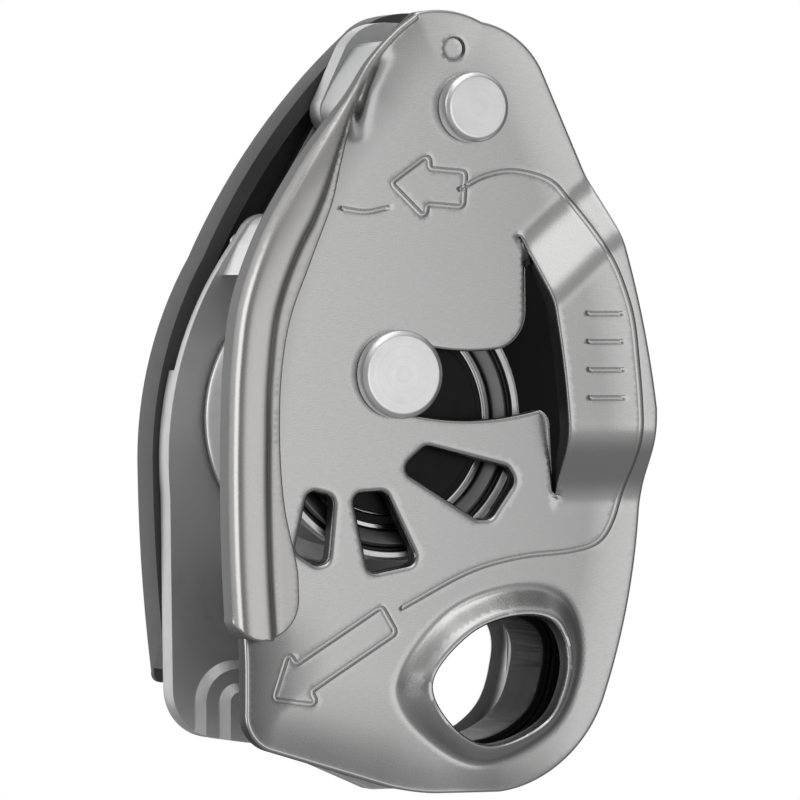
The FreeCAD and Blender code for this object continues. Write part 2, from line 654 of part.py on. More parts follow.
# ---- release lever ----------------------------------------------------------------------------------------
def handle_outline(inset=0.0):
    i = inset
    return outline(
        (-3.2 + 0.2 * i, 95.5 - i),
        ((0.4, 95.9 - i), (3.7 - 0.3 * i, 95.4 - i)),
        ((9.0 - i, 92.2 - 0.4 * i), (9.6 - i, 86.0)),
        ((4.6 - i, 64.0), (0.6 - i, 43.4)),
        ((-3.4 - 0.9 * i, 33.6 + 0.4 * i), (-11.0 - 0.5 * i, 27.2 + 0.9 * i)),
        ((-25.0 - 0.3 * i, 15.2 + 0.9 * i), (-35.6 + 0.2 * i, 0.6 + 1.6 * i)),
        ((-37.0 + 0.2 * i, -1.2 + 1.9 * i), (-38.2 + i, 0.4 + 1.4 * i)),
        ((-39.6 + i, 14.0), (-40.3 + i, 29.0)),
        ((-38.2 + i, 46.6), (-32.4 + 0.9 * i, 60.2 - 0.4 * i)),
        ((-20.6 + 0.8 * i, 79.4 - 0.6 * i), (-7.8 + 0.6 * i, 93.0 - 0.8 * i)),
        ((-5.7 + 0.4 * i, 94.6 - 0.9 * i), (-3.2 + 0.2 * i, 95.5 - i)))


HANDLE_RIVETS = tuple(polar(AXLE, 10.6, a) for a in (180.0, 225.0, 292.0))
BOSS_R = 13.6
LEVER_WALL = 2.2
HANDLE_BEVEL = 0.9


def handle_lever():
    shoulder = handle_outline()
    shoulder.translate(Vector(0, HANDLE_OUT - HANDLE_BEVEL, 0))
    back = handle_outline(HANDLE_BEVEL)
    back.translate(Vector(0, HANDLE_OUT, 0))
    bevel = Part.makeLoft([shoulder, back], True, True)
    lever = prism(handle_outline(), HANDLE_IN, HANDLE_OUT - HANDLE_BEVEL).fuse(bevel)
    hollow = prism(handle_outline(LEVER_WALL), HANDLE_IN - 1, HANDLE_SKIN)
    lever = lever.cut(hollow)
    boss = disc(AXLE, BOSS_R, HUB_OUT, HANDLE_SKIN + 0.5).common(prism(handle_outline(1.0), 0, BOTH))
    lever = lever.fuse(boss)
    lever = lever.cut(disc(AXLE, 7.2, HUB_OUT - 1, 20.3))
    lever = lever.cut(disc(AXLE, 5.6, HUB_OUT - 1, BOTH))
    for spot in HANDLE_RIVETS:
        lever = lever.cut(disc(spot, 1.5, HUB_OUT - 1, BOTH))
    end = CAM_TRAVEL + HANDLE_TRAVEL + 10
    lost = arc_slot(AXLE, PIN_ORBIT, PIN_R + FREE, -10.0, end, HUB_OUT - 3, HUB_OUT + 0.6)
    lever = lever.cut(lost)
    for i in range(5):
        groove = outline((-33.0 + 3.6 * i, 66.0 + 5.2 * i), (-24.0 + 3.6 * i, 60.5 + 5.2 * i),
                         (-23.3 + 3.6 * i, 61.7 + 5.2 * i), (-32.3 + 3.6 * i, 67.2 + 5.2 * i))
        lever = lever.cut(prism(groove, HANDLE_OUT - 0.6, HANDLE_OUT + 1))
    return lever


def handle_plate():
    """Steel inside the lever: a hub round the cam axle and an arm up to the lever's top."""
    arm = outline(
        (-27.4, 47.4), ((-27.6, 56.4), (-24.6, 63.6)), (-11.4, 85.2), ((-7.6, 89.4), (-2.6, 89.6)),
        ((2.0, 87.0), (2.6, 81.4)), (-2.2, 47.4))
    plate = disc(AXLE, 13.0, REAR + 0.4, HUB_OUT).fuse(prism(arm, REAR + 0.75, HUB_OUT))
    plate = plate.common(prism(handle_outline(LEVER_WALL + 0.1), 0, BOTH))
    plate = plate.cut(disc(AXLE, AXLE_TAIL_R + RUN, -BOTH, BOTH))
    plate = plate.cut(arc_slot(AXLE, PIN_ORBIT, PIN_R + FREE, -10.0, CAM_TRAVEL + HANDLE_TRAVEL + 10, 0, BOTH))
    for spot in HANDLE_RIVETS:
        plate = plate.cut(disc(spot, 1.5, 0, BOTH))
    return plate


def handle_rivets():
    made = []
    for spot in HANDLE_RIVETS:
        made.append(turned(spot, ((0, REAR + 0.75), (1.5, REAR + 0.75), (1.5, HANDLE_OUT), (2.6, HANDLE_OUT),
                                  (2.2, HANDLE_OUT + 0.7), (0, HANDLE_OUT + 0.9))))
    return Part.makeCompound(made)


def hub_cap():
    return turned(AXLE, ((0, 20.6), (5.6, 20.6), (5.6, HANDLE_OUT), (5.0, HANDLE_OUT + 0.5), (0, HANDLE_OUT + 0.8)))


# ---- build ------------------------------------------------------------------------------------------------
save("moving_side_plate", moving_side_plate())
save("wear_rim", wear_rim())
save("pivot_bush", pivot_bush())

save("fixed_side_plate", fixed_side_plate())
save("upper_block", upper_block())
save("block_rivets", rivets(BLOCK_RIVETS))
save("friction_shoe", friction_shoe())
save("shoe_rivets", rivets(SHOE_RIVETS))
save("carabiner_bush", carabiner_bush())
save("rope_liner", rope_liner())
save("pivot_pin", pivot_pin())
save("pivot_washer", pivot_washer())
save("pivot_lock_ring", pivot_lock_ring())
save("cam_axle", cam_axle())
save("axle_lock_ring", ring(AXLE, 6.5, AXLE_R, REAR - 1.4, REAR))
save("cam_front_washer", ring(AXLE, 4.6, AXLE_R, CAM_FRONT - 0.8, CAM_FRONT - 0.15))
save("cam_rear_washer", ring(AXLE, 6.4, AXLE_R, CAM_REAR + 0.15, REAR_IN))
save("cam_spring", torsion_spring(AXLE, 5.25, 0.4, 5.1, CAM_REAR, 3.5))
save("hub_washer", ring(AXLE, 6.0, AXLE_TAIL_R, HUB_OUT + 0.1, HUB_OUT + 0.9))
save("hub_circlip", ring(AXLE, 5.2, AXLE_TAIL_R - 0.5, 18.6, 19.3))

save("cam", cam())
save("cam_bush", ring(AXLE, 4.6, AXLE_R + RUN, CAM_FRONT, 5.0))
save("cam_cover", cam_cover())
save("cover_screws", cover_screws())
save("bearing_inner_race", ring(WHEEL, RACE_IN_R, JOURNAL_R, -RACE_HALF, RACE_HALF))
save("bearing_clip", ring(WHEEL, 13.5, JOURNAL_R - 0.6, 7.7, 8.4))
save("drive_pin", drive_pin())

save("wheel", wheel())
save("bearing_outer_race", ring(WHEEL, WHEEL_BORE_R, RACE_OUT_R, -RACE_HALF, RACE_HALF))
save("bearing_rollers", rollers())
save("bearing_seals", bearing_seals())

save("handle_lever", handle_lever())
save("handle_plate", handle_plate())
save("handle_rivets", handle_rivets())
save("handle_spring", torsion_spring(AXLE, 6.6, 0.35, HUB_OUT + 0.1, 19.8, 3.5))
save("hub_cap", hub_cap())
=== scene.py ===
"""Looks of the rope descender: materials, softened edges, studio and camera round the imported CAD.

Everything is in metres, in the CAD frame: +Z runs up to the side plate pivot and -Y is the front.
"""
import json
import math

import bmesh
import bpy
import numpy as np
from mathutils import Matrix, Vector
from mathutils.geometry import delaunay_2d_cdt


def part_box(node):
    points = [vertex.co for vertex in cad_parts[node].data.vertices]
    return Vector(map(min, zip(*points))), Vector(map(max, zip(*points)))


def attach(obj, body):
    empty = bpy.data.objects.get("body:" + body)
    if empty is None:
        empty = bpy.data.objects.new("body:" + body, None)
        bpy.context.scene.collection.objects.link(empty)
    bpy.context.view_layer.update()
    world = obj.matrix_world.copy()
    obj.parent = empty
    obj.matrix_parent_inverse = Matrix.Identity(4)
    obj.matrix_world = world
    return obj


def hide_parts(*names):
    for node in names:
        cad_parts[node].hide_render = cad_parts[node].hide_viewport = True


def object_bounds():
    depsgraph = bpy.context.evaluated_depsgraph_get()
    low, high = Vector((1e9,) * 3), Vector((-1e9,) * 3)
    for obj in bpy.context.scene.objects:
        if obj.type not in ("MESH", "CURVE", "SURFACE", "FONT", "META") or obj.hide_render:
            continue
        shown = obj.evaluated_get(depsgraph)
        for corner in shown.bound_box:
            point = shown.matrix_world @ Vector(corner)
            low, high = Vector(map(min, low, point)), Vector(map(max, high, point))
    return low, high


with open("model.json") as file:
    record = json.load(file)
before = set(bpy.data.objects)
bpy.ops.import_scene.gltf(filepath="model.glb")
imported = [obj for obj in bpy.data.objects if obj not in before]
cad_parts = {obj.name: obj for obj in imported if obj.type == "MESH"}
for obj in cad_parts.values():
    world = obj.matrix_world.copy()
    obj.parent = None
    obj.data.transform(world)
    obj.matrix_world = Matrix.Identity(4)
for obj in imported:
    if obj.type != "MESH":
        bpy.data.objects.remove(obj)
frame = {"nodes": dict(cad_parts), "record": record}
cad_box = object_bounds()

MM = 0.001
CENTRE = (cad_box[0] + cad_box[1]) / 2


# ---- camera --------------------------------------------------------------------------------------
CAMERA_AZIMUTH = -24.5          # degrees; the camera stands to the left of the front plate
CAMERA_ELEVATION = 0.6
CAMERA_DISTANCE = 0.9
VIEW_WIDTH = 0.1151             # what the frame takes in at the object
AIM_SHIFT = Vector((1.55, 1.0, 0.0)) * MM
SENSOR = 36.0                   # millimetres


def direction(azimuth, elevation):
    """Unit vector from the object to a place in the studio; azimuth 0 is in front, 90 on the right."""
    a, e = math.radians(azimuth), math.radians(elevation)
    return Vector((math.sin(a) * math.cos(e), -math.cos(a) * math.cos(e), math.sin(e)))


def make_camera():
    """The photo's view: a long lens, level, from a little to the left."""
    data = bpy.data.cameras.new("camera")
    data.sensor_width = SENSOR
    data.lens = SENSOR * CAMERA_DISTANCE / VIEW_WIDTH
    data.clip_start = 0.05
    camera = bpy.data.objects.new("camera", data)
    bpy.context.scene.collection.objects.link(camera)
    back = direction(CAMERA_AZIMUTH, CAMERA_ELEVATION)
    camera.location = CENTRE + AIM_SHIFT + back * CAMERA_DISTANCE
    camera.rotation_euler = (-back).to_track_quat("-Z", "Y").to_euler()
    bpy.context.scene.camera = camera


# ---- studio --------------------------------------------------------------------------------------
# Soft boxes: azimuth, elevation, distance, width, height, radiance.
LIGHTS = {
    "front_card": (4, -5, 0.55, 0.46, 0.38, 0.62),
    "left_box": (-97, 4, 0.70, 0.46, 0.80, 1.45),
    "top_front_box": (-16, 52, 0.70, 0.60, 0.16, 0.95),
    "top_box": (-60, 80, 0.80, 0.60, 0.60, 1.0),
    "back_left_box": (-150, 8, 0.90, 0.60, 0.90, 0.95),
    "back_right_box": (150, 22, 0.90, 0.80, 0.70, 1.1),
}
# Broad glows of the walls: azimuth, elevation, inner and outer half angle, strength.
GLOWS = (
    (10, -5, 15, 55, 0.24),
    (-60, 10, 20, 70, 0.14),
    (180, 20, 30, 100, 0.35),
    (0, 90, 20, 80, 0.40),
    (0, -60, 20, 90, 0.14),
)
AMBIENT = 0.10
FLOOR_DROP = 14 * MM            # the object is held clear of the floor by its attachment hole
FLOOR_RADIUS = 0.17


def make_lights():
    """One soft box for each row of LIGHTS, turned to the object and unseen by the camera."""
    for name, (azimuth, elevation, distance, width, height, radiance) in LIGHTS.items():
        data = bpy.data.lights.new(name, "AREA")
        data.shape = "RECTANGLE"
        data.size = width
        data.size_y = height
        data.energy = radiance * math.pi * width * height
        light = bpy.data.objects.new(name, data)
        bpy.context.scene.collection.objects.link(light)
        back = direction(azimuth, elevation)
        light.location = CENTRE + back * distance
        light.rotation_euler = (-back).to_track_quat("-Z", "Y").to_euler()
        light.visible_camera = False


def make_world():
    """White to the camera; a dark room with broad glows on its walls to everything else."""
    world = bpy.data.worlds.new("studio")
    bpy.context.scene.world = world
    world.use_nodes = True
    tree = world.node_tree
    tree.nodes.clear()
    where = tree.nodes.new("ShaderNodeTexCoord").outputs["Generated"]
    total = None
    for azimuth, elevation, inner, outer, strength in GLOWS:
        dot = tree.nodes.new("ShaderNodeVectorMath")
        dot.operation = "DOT_PRODUCT"
        tree.links.new(where, dot.inputs[0])
        dot.inputs[1].default_value = direction(azimuth, elevation)
        fade = tree.nodes.new("ShaderNodeMapRange")
        fade.interpolation_type = "SMOOTHSTEP"
        tree.links.new(dot.outputs["Value"], fade.inputs["Value"])
        fade.inputs["From Min"].default_value = math.cos(math.radians(outer))
        fade.inputs["From Max"].default_value = math.cos(math.radians(inner))
        fade.inputs["To Min"].default_value = 0.0 if total else AMBIENT
        fade.inputs["To Max"].default_value = strength if total else AMBIENT + strength
        if total is None:
            total = fade.outputs["Result"]
        else:
            add = tree.nodes.new("ShaderNodeMath")
            tree.links.new(total, add.inputs[0])
            tree.links.new(fade.outputs["Result"], add.inputs[1])
            total = add.outputs["Value"]
    path = tree.nodes.new("ShaderNodeLightPath")
    room = tree.nodes.new("ShaderNodeBackground")
    tree.links.new(total, room.inputs["Strength"])
    white = tree.nodes.new("ShaderNodeBackground")
    white.inputs["Strength"].default_value = 1.0
    white.inputs["Color"].default_value = (1, 1, 1, 1)
    room.inputs["Color"].default_value = (1, 1, 1, 1)
    mix = tree.nodes.new("ShaderNodeMixShader")
    tree.links.new(path.outputs["Is Camera Ray"], mix.inputs["Fac"])
    tree.links.new(room.outputs["Background"], mix.inputs[1])
    tree.links.new(white.outputs["Background"], mix.inputs[2])
    out = tree.nodes.new("ShaderNodeOutputWorld")
    tree.links.new(mix.outputs["Shader"], out.inputs["Surface"])


# ---- materials -----------------------------------------------------------------------------------
EDGE_TURN = (0.80, 0.985)       # cosines of the normal's turn where edge wear is full and where it ends
WEAR_SHARE = 4                  # how much more wear lightens a metal's edges than it smooths them
# The wheel's front face, painted dark with a grey band as painted shade of the gap between the plates, as
# (start, end) of each change: the depth it begins at, then radii.
WHEEL_FRONT = (-8.6 * MM, -8.2 * MM)
WHEEL_HUB = (15.8 * MM, 16.1 * MM)
WHEEL_BAND = (18.0 * MM, 18.1 * MM)
WHEEL_GROOVE = (18.7 * MM, 18.8 * MM)


class Nodes:
    """Short calls for building one material's node tree."""

    def __init__(self, name):
        self.material = bpy.data.materials.new(name)
        self.material.use_nodes = True
        self.tree = self.material.node_tree
        self.shader = self.tree.nodes["Principled BSDF"]
        self.where = self.tree.nodes.new("ShaderNodeTexCoord").outputs["Object"]

    def add(self, kind, inputs, **settings):
        """Adds a node; each input is a socket to link or a value to set."""
        made = self.tree.nodes.new(kind)
        for key, value in settings.items():
            setattr(made, key, value)
        for key, value in inputs.items():
            if isinstance(value, bpy.types.NodeSocket):
                self.tree.links.new(value, made.inputs[key])
            else:
                made.inputs[key].default_value = value
        return made

    def stretched(self, scale, turn=0.0, origin=(0, 0, 0)):
        """The object's own coordinates after a shift, a turn about Y and a scale along each axis."""
        moved = self.add("ShaderNodeVectorMath", {0: self.where, 1: Vector(origin)}, operation="SUBTRACT")
        inputs = {"Vector": moved.outputs[0], "Angle": math.radians(turn)}
        turned = self.add("ShaderNodeVectorRotate", inputs, rotation_type="Y_AXIS")
        scaled = self.add("ShaderNodeVectorMath", {0: turned.outputs["Vector"], 1: Vector(scale)},
                          operation="MULTIPLY")
        return scaled.outputs[0]

    def noise(self, feature, detail=3.0, where=None, roughness=0.55):
        """Noise with features of about this size in metres, or in the units of where."""
        inputs = {"Vector": where or self.where, "Scale": 1.0 / feature, "Detail": detail,
                  "Roughness": roughness}
        return self.add("ShaderNodeTexNoise", inputs).outputs["Fac"]

    def spread(self, value, low, high, start=0.3, end=0.7):
        """Maps start to low and end to high; the defaults take up what a noise mostly gives."""
        inputs = {"Value": value, "From Min": start, "From Max": end, "To Min": low, "To Max": high}
        return self.add("ShaderNodeMapRange", inputs).outputs["Result"]

    def mixed(self, factor, first, second):
        """Colour between two colours or colour sockets."""
        made = self.add("ShaderNodeMix", {"Factor": factor}, data_type="RGBA")
        for index, colour in ((6, first), (7, second)):
            if isinstance(colour, bpy.types.NodeSocket):
                self.tree.links.new(colour, made.inputs[index])
            else:
                made.inputs[index].default_value = (*colour, 1.0)
        return made.outputs[2]

    def maths(self, operation, first, second=0.0):
        made = self.add("ShaderNodeMath", {0: first, 1: second}, operation=operation)
        return made.outputs["Value"]

    def edges(self, radius):
        """1 along edges, 0 on open faces."""
        rounded = self.add("ShaderNodeBevel", {"Radius": radius}, samples=6)
        geometry = self.tree.nodes.new("ShaderNodeNewGeometry")
        dot = self.add("ShaderNodeVectorMath", {0: rounded.outputs["Normal"], 1: geometry.outputs["Normal"]},
                       operation="DOT_PRODUCT")
        return self.spread(dot.outputs["Value"], 1.0, 0.0, *EDGE_TURN)

    def bumps(self, *layers):
        """Stacks (height, strength, distance) bumps on the surface."""
        normal = None
        for height, strength, distance in layers:
            inputs = {"Height": height, "Strength": strength, "Distance": distance}
            if normal is not None:
                inputs["Normal"] = normal
            normal = self.add("ShaderNodeBump", inputs).outputs["Normal"]
        self.tree.links.new(normal, self.shader.inputs["Normal"])

    def finish(self, colour, roughness, **constants):
        """Links the two main channels, sets the others and hands back the material."""
        self.tree.links.new(colour, self.shader.inputs["Base Color"])
        self.tree.links.new(roughness, self.shader.inputs["Roughness"])
        for key, value in constants.items():
            self.shader.inputs[key.replace("_", " ")].default_value = value
        return self.material


def grey(value, warmth=0.0):
    """A grey; warmth tips it towards red."""
    return value * (1 + warmth), value, value * (1 - warmth)


def satin_metal(name, tone, roughness, grain, brush=None, turn=0.0, wear=0.12, warmth=0.004, blast=0.0):
    """Satin metal: tone drifts slowly, a fine grain breaks the gloss, and edges are polished by handling."""
    n = Nodes(name)
    cloud = n.noise(14 * MM, 3.0)
    patch = n.noise(2.2 * MM, 4.0)
    fine = n.noise(grain, 2.0)
    if brush:
        fine = n.noise(grain, 3.0, n.stretched(brush, turn))
    tones = n.mixed(n.spread(cloud, 0.0, 1.0), grey(tone * 0.95, warmth), grey(tone * 1.05, warmth))
    tones = n.mixed(n.spread(fine, 0.0, 0.35), tones, grey(tone * 0.86, warmth))
    edge = n.edges(0.28 * MM)
    tones = n.mixed(n.maths("MULTIPLY", edge, wear * WEAR_SHARE), tones,
                    grey(min(tone * 1.35, 0.93), warmth))
    rough = n.maths("ADD", n.spread(patch, -0.035, 0.035),
                    n.spread(cloud, roughness - 0.03, roughness + 0.03))
    rough = n.maths("SUBTRACT", rough, n.maths("MULTIPLY", edge, wear))
    layers = [(fine, 0.10, 0.02 * MM), (cloud, 0.05, 0.25 * MM)]
    if blast:
        layers.append((n.noise(0.16 * MM, 2.0), blast, 0.03 * MM))
    n.bumps(*layers)
    return n.finish(tones, rough, Metallic=1.0)


def pressed_plate(name, tone, roughness, wall_shade_share, warmth=0.004):
    """Blasted and brushed sheet whose punched walls are rough, and darkened with painted shade."""
    n = Nodes(name)
    cloud = n.noise(16 * MM, 3.0)
    streak = n.noise(0.09 * MM, 3.0, n.stretched((0.08, 1, 1), 4))
    blast = n.noise(0.20 * MM, 3.0)
    facing = n.tree.nodes.new("ShaderNodeTexCoord").outputs["Normal"]
    sideways = n.add("ShaderNodeSeparateXYZ", {0: facing}).outputs["Y"]
    wall_shade_and_rough = n.spread(n.maths("ABSOLUTE", sideways), 1.0, 0.0, 0.10, 0.35)
    edge = n.edges(0.22 * MM)
    tones = n.mixed(n.spread(cloud, 0.0, 1.0), grey(tone * 0.96, warmth), grey(tone * 1.04, warmth))
    tones = n.mixed(n.spread(streak, 0.0, 0.08), tones, grey(tone * 0.84, warmth))
    tones = n.mixed(n.spread(blast, 0.0, 0.05), tones, grey(tone * 0.80, warmth))
    tones = n.mixed(n.maths("MULTIPLY", edge, 0.25), tones, grey(min(tone * 1.3, 0.9)))
    # Painted shade: faces that turn sideways, such as punched walls, are painted darker, down to a share of
    # the tone.
    tones = n.mixed(wall_shade_and_rough, tones, grey(tone * wall_shade_share))
    rough = n.maths("ADD", n.spread(streak, -0.03, 0.03),
                    n.spread(cloud, roughness - 0.02, roughness + 0.03))
    rough = n.maths("ADD", rough, n.maths("MULTIPLY", wall_shade_and_rough, 0.25))
    n.bumps((streak, 0.015, 0.02 * MM), (blast, 0.015, 0.02 * MM))
    return n.finish(tones, rough, Metallic=1.0)


def grooved_wheel(name, tone):
    """Turned wheel: its front face is painted dark inside a bright outer ring, as painted shade of the gap
    between the plates.
    """
    n = Nodes(name)
    spoke = n.stretched((1, 0, 1), origin=middle("wheel"))
    radius = n.add("ShaderNodeVectorMath", {0: spoke}, operation="LENGTH").outputs["Value"]
    rings = n.noise(0.14 * MM, 3.0, n.add("ShaderNodeCombineXYZ", {"X": radius}).outputs["Vector"])
    cloud = n.noise(4 * MM, 3.0)
    depth = n.add("ShaderNodeSeparateXYZ", {0: n.where}).outputs["Y"]
    front = n.spread(depth, 1.0, 0.0, *WHEEL_FRONT)
    hub = n.spread(radius, 1.0, 0.0, *WHEEL_HUB)
    band = n.spread(radius, 1.0, 0.0, *WHEEL_BAND)
    groove = n.spread(radius, 1.0, 0.0, *WHEEL_GROOVE)
    tones = n.mixed(n.spread(rings, 0.0, 1.0), grey(tone * 0.9), grey(tone * 1.05))
    # Painted shade: the front face is painted near black inside the groove, grey in a band, and near black
    # again over the hub.
    shaded_face = n.mixed(groove, tones, grey(0.02))
    shaded_face = n.mixed(band, shaded_face, grey(0.16))
    shaded_face = n.mixed(hub, shaded_face, grey(0.01))
    tones = n.mixed(front, tones, shaded_face)
    tones = n.mixed(n.spread(cloud, 0.0, 0.2), tones, grey(0.2))
    rough = n.maths("ADD", n.spread(rings, -0.03, 0.03), n.spread(cloud, 0.34, 0.42))
    n.bumps((rings, 0.2, 0.02 * MM))
    return n.finish(tones, rough, Metallic=1.0)


def turned_metal(name, tone, roughness, centre):
    """Lathe-turned metal: rings round the piece's own axis."""
    n = Nodes(name)
    flat = n.add("ShaderNodeVectorMath", {0: n.stretched((1, 0, 1), origin=centre)}, operation="LENGTH")
    radius = flat.outputs["Value"]
    spiral = n.add("ShaderNodeCombineXYZ", {"X": radius}).outputs["Vector"]
    rings = n.noise(0.16 * MM, 3.0, spiral)
    wide = n.noise(0.7 * MM, 2.0, spiral)
    cloud = n.noise(3 * MM, 3.0)
    tones = n.mixed(n.spread(rings, 0.0, 1.0), grey(tone * 0.93), grey(min(tone * 1.03, 0.99)))
    tones = n.mixed(n.spread(cloud, 0.0, 0.2), tones, grey(tone * 0.85))
    rough = n.maths("ADD", n.spread(wide, -0.03, 0.04),
                    n.spread(cloud, roughness - 0.03, roughness + 0.03))
    n.bumps((rings, 0.22, 0.02 * MM), (wide, 0.08, 0.05 * MM))
    return n.finish(tones, rough, Metallic=1.0)


def moulded_plastic(name, tone, roughness, grain, depth, gloss):
    """Glass-filled nylon: a fine moulded texture, a little lighter where it is rubbed."""
    n = Nodes(name)
    cloud = n.noise(9 * MM, 3.0)
    fine = n.noise(grain, 4.0, roughness=0.65)
    cells = n.add("ShaderNodeTexVoronoi", {"Vector": n.where, "Scale": 1 / (2.2 * grain)})
    edge = n.edges(0.3 * MM)
    tones = n.mixed(n.spread(cloud, 0.0, 1.0), grey(tone * 0.85), grey(tone * 1.15))
    tones = n.mixed(n.spread(fine, 0.0, 0.4), tones, grey(tone * 1.5))
    tones = n.mixed(n.maths("MULTIPLY", edge, 0.45), tones, grey(tone * 2.4))
    rough = n.maths("ADD", n.spread(fine, -0.06, 0.06),
                    n.spread(cloud, roughness - 0.04, roughness + 0.04))
    n.bumps((fine, depth, 0.05 * MM), (cells.outputs["Distance"], depth * 0.5, 0.05 * MM))
    return n.finish(tones, rough, Specular_IOR_Level=gloss)


def soft_rubber(name, tone):
    """Matt black rubber with a fine grain."""
    n = Nodes(name)
    fine = n.noise(0.12 * MM, 3.0)
    cloud = n.noise(4 * MM, 3.0)
    tones = n.mixed(n.spread(cloud, 0.0, 1.0), grey(tone * 0.8), grey(tone * 1.3))
    rough = n.spread(fine, 0.55, 0.75)
    n.bumps((fine, 0.25, 0.03 * MM))
    return n.finish(tones, rough, Specular_IOR_Level=0.35)


def oiled_bronze(name):
    """Sintered bronze, speckled where oil stands in its pores."""
    n = Nodes(name)
    fine = n.noise(0.12 * MM, 3.0)
    cloud = n.noise(3 * MM, 3.0)
    tones = n.mixed(n.spread(cloud, 0.0, 1.0), (0.50, 0.33, 0.15), (0.62, 0.43, 0.22))
    tones = n.mixed(n.spread(fine, 0.0, 0.5), tones, (0.30, 0.19, 0.09))
    n.bumps((fine, 0.3, 0.03 * MM))
    return n.finish(tones, n.spread(fine, 0.28, 0.42), Metallic=1.0)


MATERIALS = {
    # The third number of a pressed sheet is the share of its tone that its walls are darkened to, as painted
    # shade.
    "plate_alloy": lambda name: pressed_plate(name, 0.56, 0.25, 0.12),
    "rim_steel": lambda name: pressed_plate(name, 0.53, 0.30, 0.35, 0.012),
    "rear_alloy": lambda name: satin_metal(name, 0.56, 0.50, 0.12 * MM, blast=0.25, warmth=-0.004,
                                           wear=0.2),
    "rivet_steel": lambda name: satin_metal(name, 0.62, 0.30, 0.10 * MM),
    "shoe_steel": lambda name: satin_metal(name, 0.78, 0.55, 0.10 * MM, brush=(1, 0.1, 1), wear=0.1),
    "cam_steel": lambda name: satin_metal(name, 0.45, 0.30, 0.10 * MM, brush=(1, 0.1, 1)),
    "bearing_steel": lambda name: satin_metal(name, 0.66, 0.16, 0.08 * MM),
    "spring_steel": lambda name: satin_metal(name, 0.42, 0.26, 0.08 * MM),
    "wheel_alloy": lambda name: grooved_wheel(name, 0.88),
    "lever_steel": lambda name: satin_metal(name, 0.34, 0.40, 0.11 * MM, brush=(1, 1, 0.1), turn=30),
    "dark_cover": lambda name: satin_metal(name, 0.022, 0.42, 0.12 * MM, blast=0.15, wear=0.1),
    # Black nylon, its tone pushed down to near black past the nylon's own, as painted shade of the gap
    # between the plates.
    "black_nylon": lambda name: moulded_plastic(name, 0.003, 0.5, 0.14 * MM, 0.3, 0.2),
    "lever_nylon": lambda name: moulded_plastic(name, 0.062, 0.55, 0.16 * MM, 0.5, 0.45),
    "seal_rubber": lambda name: soft_rubber(name, 0.012),
    "bronze": oiled_bronze,
}
HEAD_TONE = 0.97
HEAD_ROUGHNESS = 0.34


def middle(node):
    """Middle of a CAD node's box."""
    low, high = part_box(node)
    return (low + high) / 2


def dress_nodes():
    """Gives each CAD node its slot's material; a turned head gets its own, centred on its axis."""
    made = {}
    for part in frame["record"]["subparts"]:
        node, slot = part["node"], part["material_slot"]
        if slot == "head_steel":
            material = turned_metal("turned_" + node, HEAD_TONE, HEAD_ROUGHNESS, middle(node))
        else:
            if slot not in made:
                made[slot] = MATERIALS[slot](slot)
            material = made[slot]
        thing = frame["nodes"][node]
        thing.data.materials.clear()
        thing.data.materials.append(material)


# ---- edges ---------------------------------------------------------------------------------------
EDGE_ANGLE = 32.0               # degrees; a sharper turn than this counts as an edge
FLAT_ANGLE = 0.6                # degrees; triangles that turn less than this are joined into one face
WELD_GAP = 0.002 * MM
EDGE_RADIUS = {
    "fixed_side_plate": 0.40 * MM, "handle_lever": 0.45 * MM, "handle_plate": 0.25 * MM,
    "upper_block": 0.35 * MM, "friction_shoe": 0.35 * MM, "pivot_pin": 0.25 * MM,
    "cam_axle": 0.30 * MM, "carabiner_bush": 0.30 * MM}
SMALL_EDGE = 0.12 * MM          # of every other node
COILED = ("cam_spring", "handle_spring")    # round wire: no edges to break


def soften_edges():
    """Breaks every sharp edge with a small round, as a finished part has."""
    for name, thing in frame["nodes"].items():
        if name in COILED:
            continue
        weld = thing.modifiers.new("weld", "WELD")
        weld.merge_threshold = WELD_GAP
        flat = thing.modifiers.new("flat", "DECIMATE")
        flat.decimate_type = "DISSOLVE"
        flat.angle_limit = math.radians(FLAT_ANGLE)
        edge = thing.modifiers.new("edge", "BEVEL")
        edge.width = EDGE_RADIUS.get(name, SMALL_EDGE)
        edge.segments = 3
        edge.limit_method = "ANGLE"
        edge.angle_limit = math.radians(EDGE_ANGLE)
        edge.harden_normals = True


# ---- sheet metal ---------------------------------------------------------------------------------
# Plan drawings are in millimetres in the X-Z plane, as the CAD part's are.
FRONT = -12.95                  # front face of the moving side plate
FRONT_IN = -10.45               # its inner face
PIVOT = np.array((-3.1, 81.2))
AXLE = np.array((-14.5, 43.4))
PITCH = 0.6      # of the points inside a sheet
ROW_PITCH = 0.87                # distance of their rows as a share of it, for triangles with equal sides
STEP = 0.45                     # of the points along a sheet's borders
LINE_STEP = 0.4                 # of the points along a groove
CURVE_POINTS = 16               # between two points of a smooth line
ROUND_SHARES = (0.1, 0.33, 0.64, 1.0)   # rows of points over an edge's round, as shares of its radius
BORDER_CLEAR = 0.2              # least distance of a groove's points from a border
GRID_CLEAR = 0.45               # least distance of inner points from an edge's round, as a share of PITCH
GROOVE_CLEAR = 0.35             # and from a groove
SHARP_ANGLE = 38.0              # degrees; a sheet is smooth over less than this
WHOLE_HULL = 0                  # the triangulation's output type
SAME_POINT = 1e-4


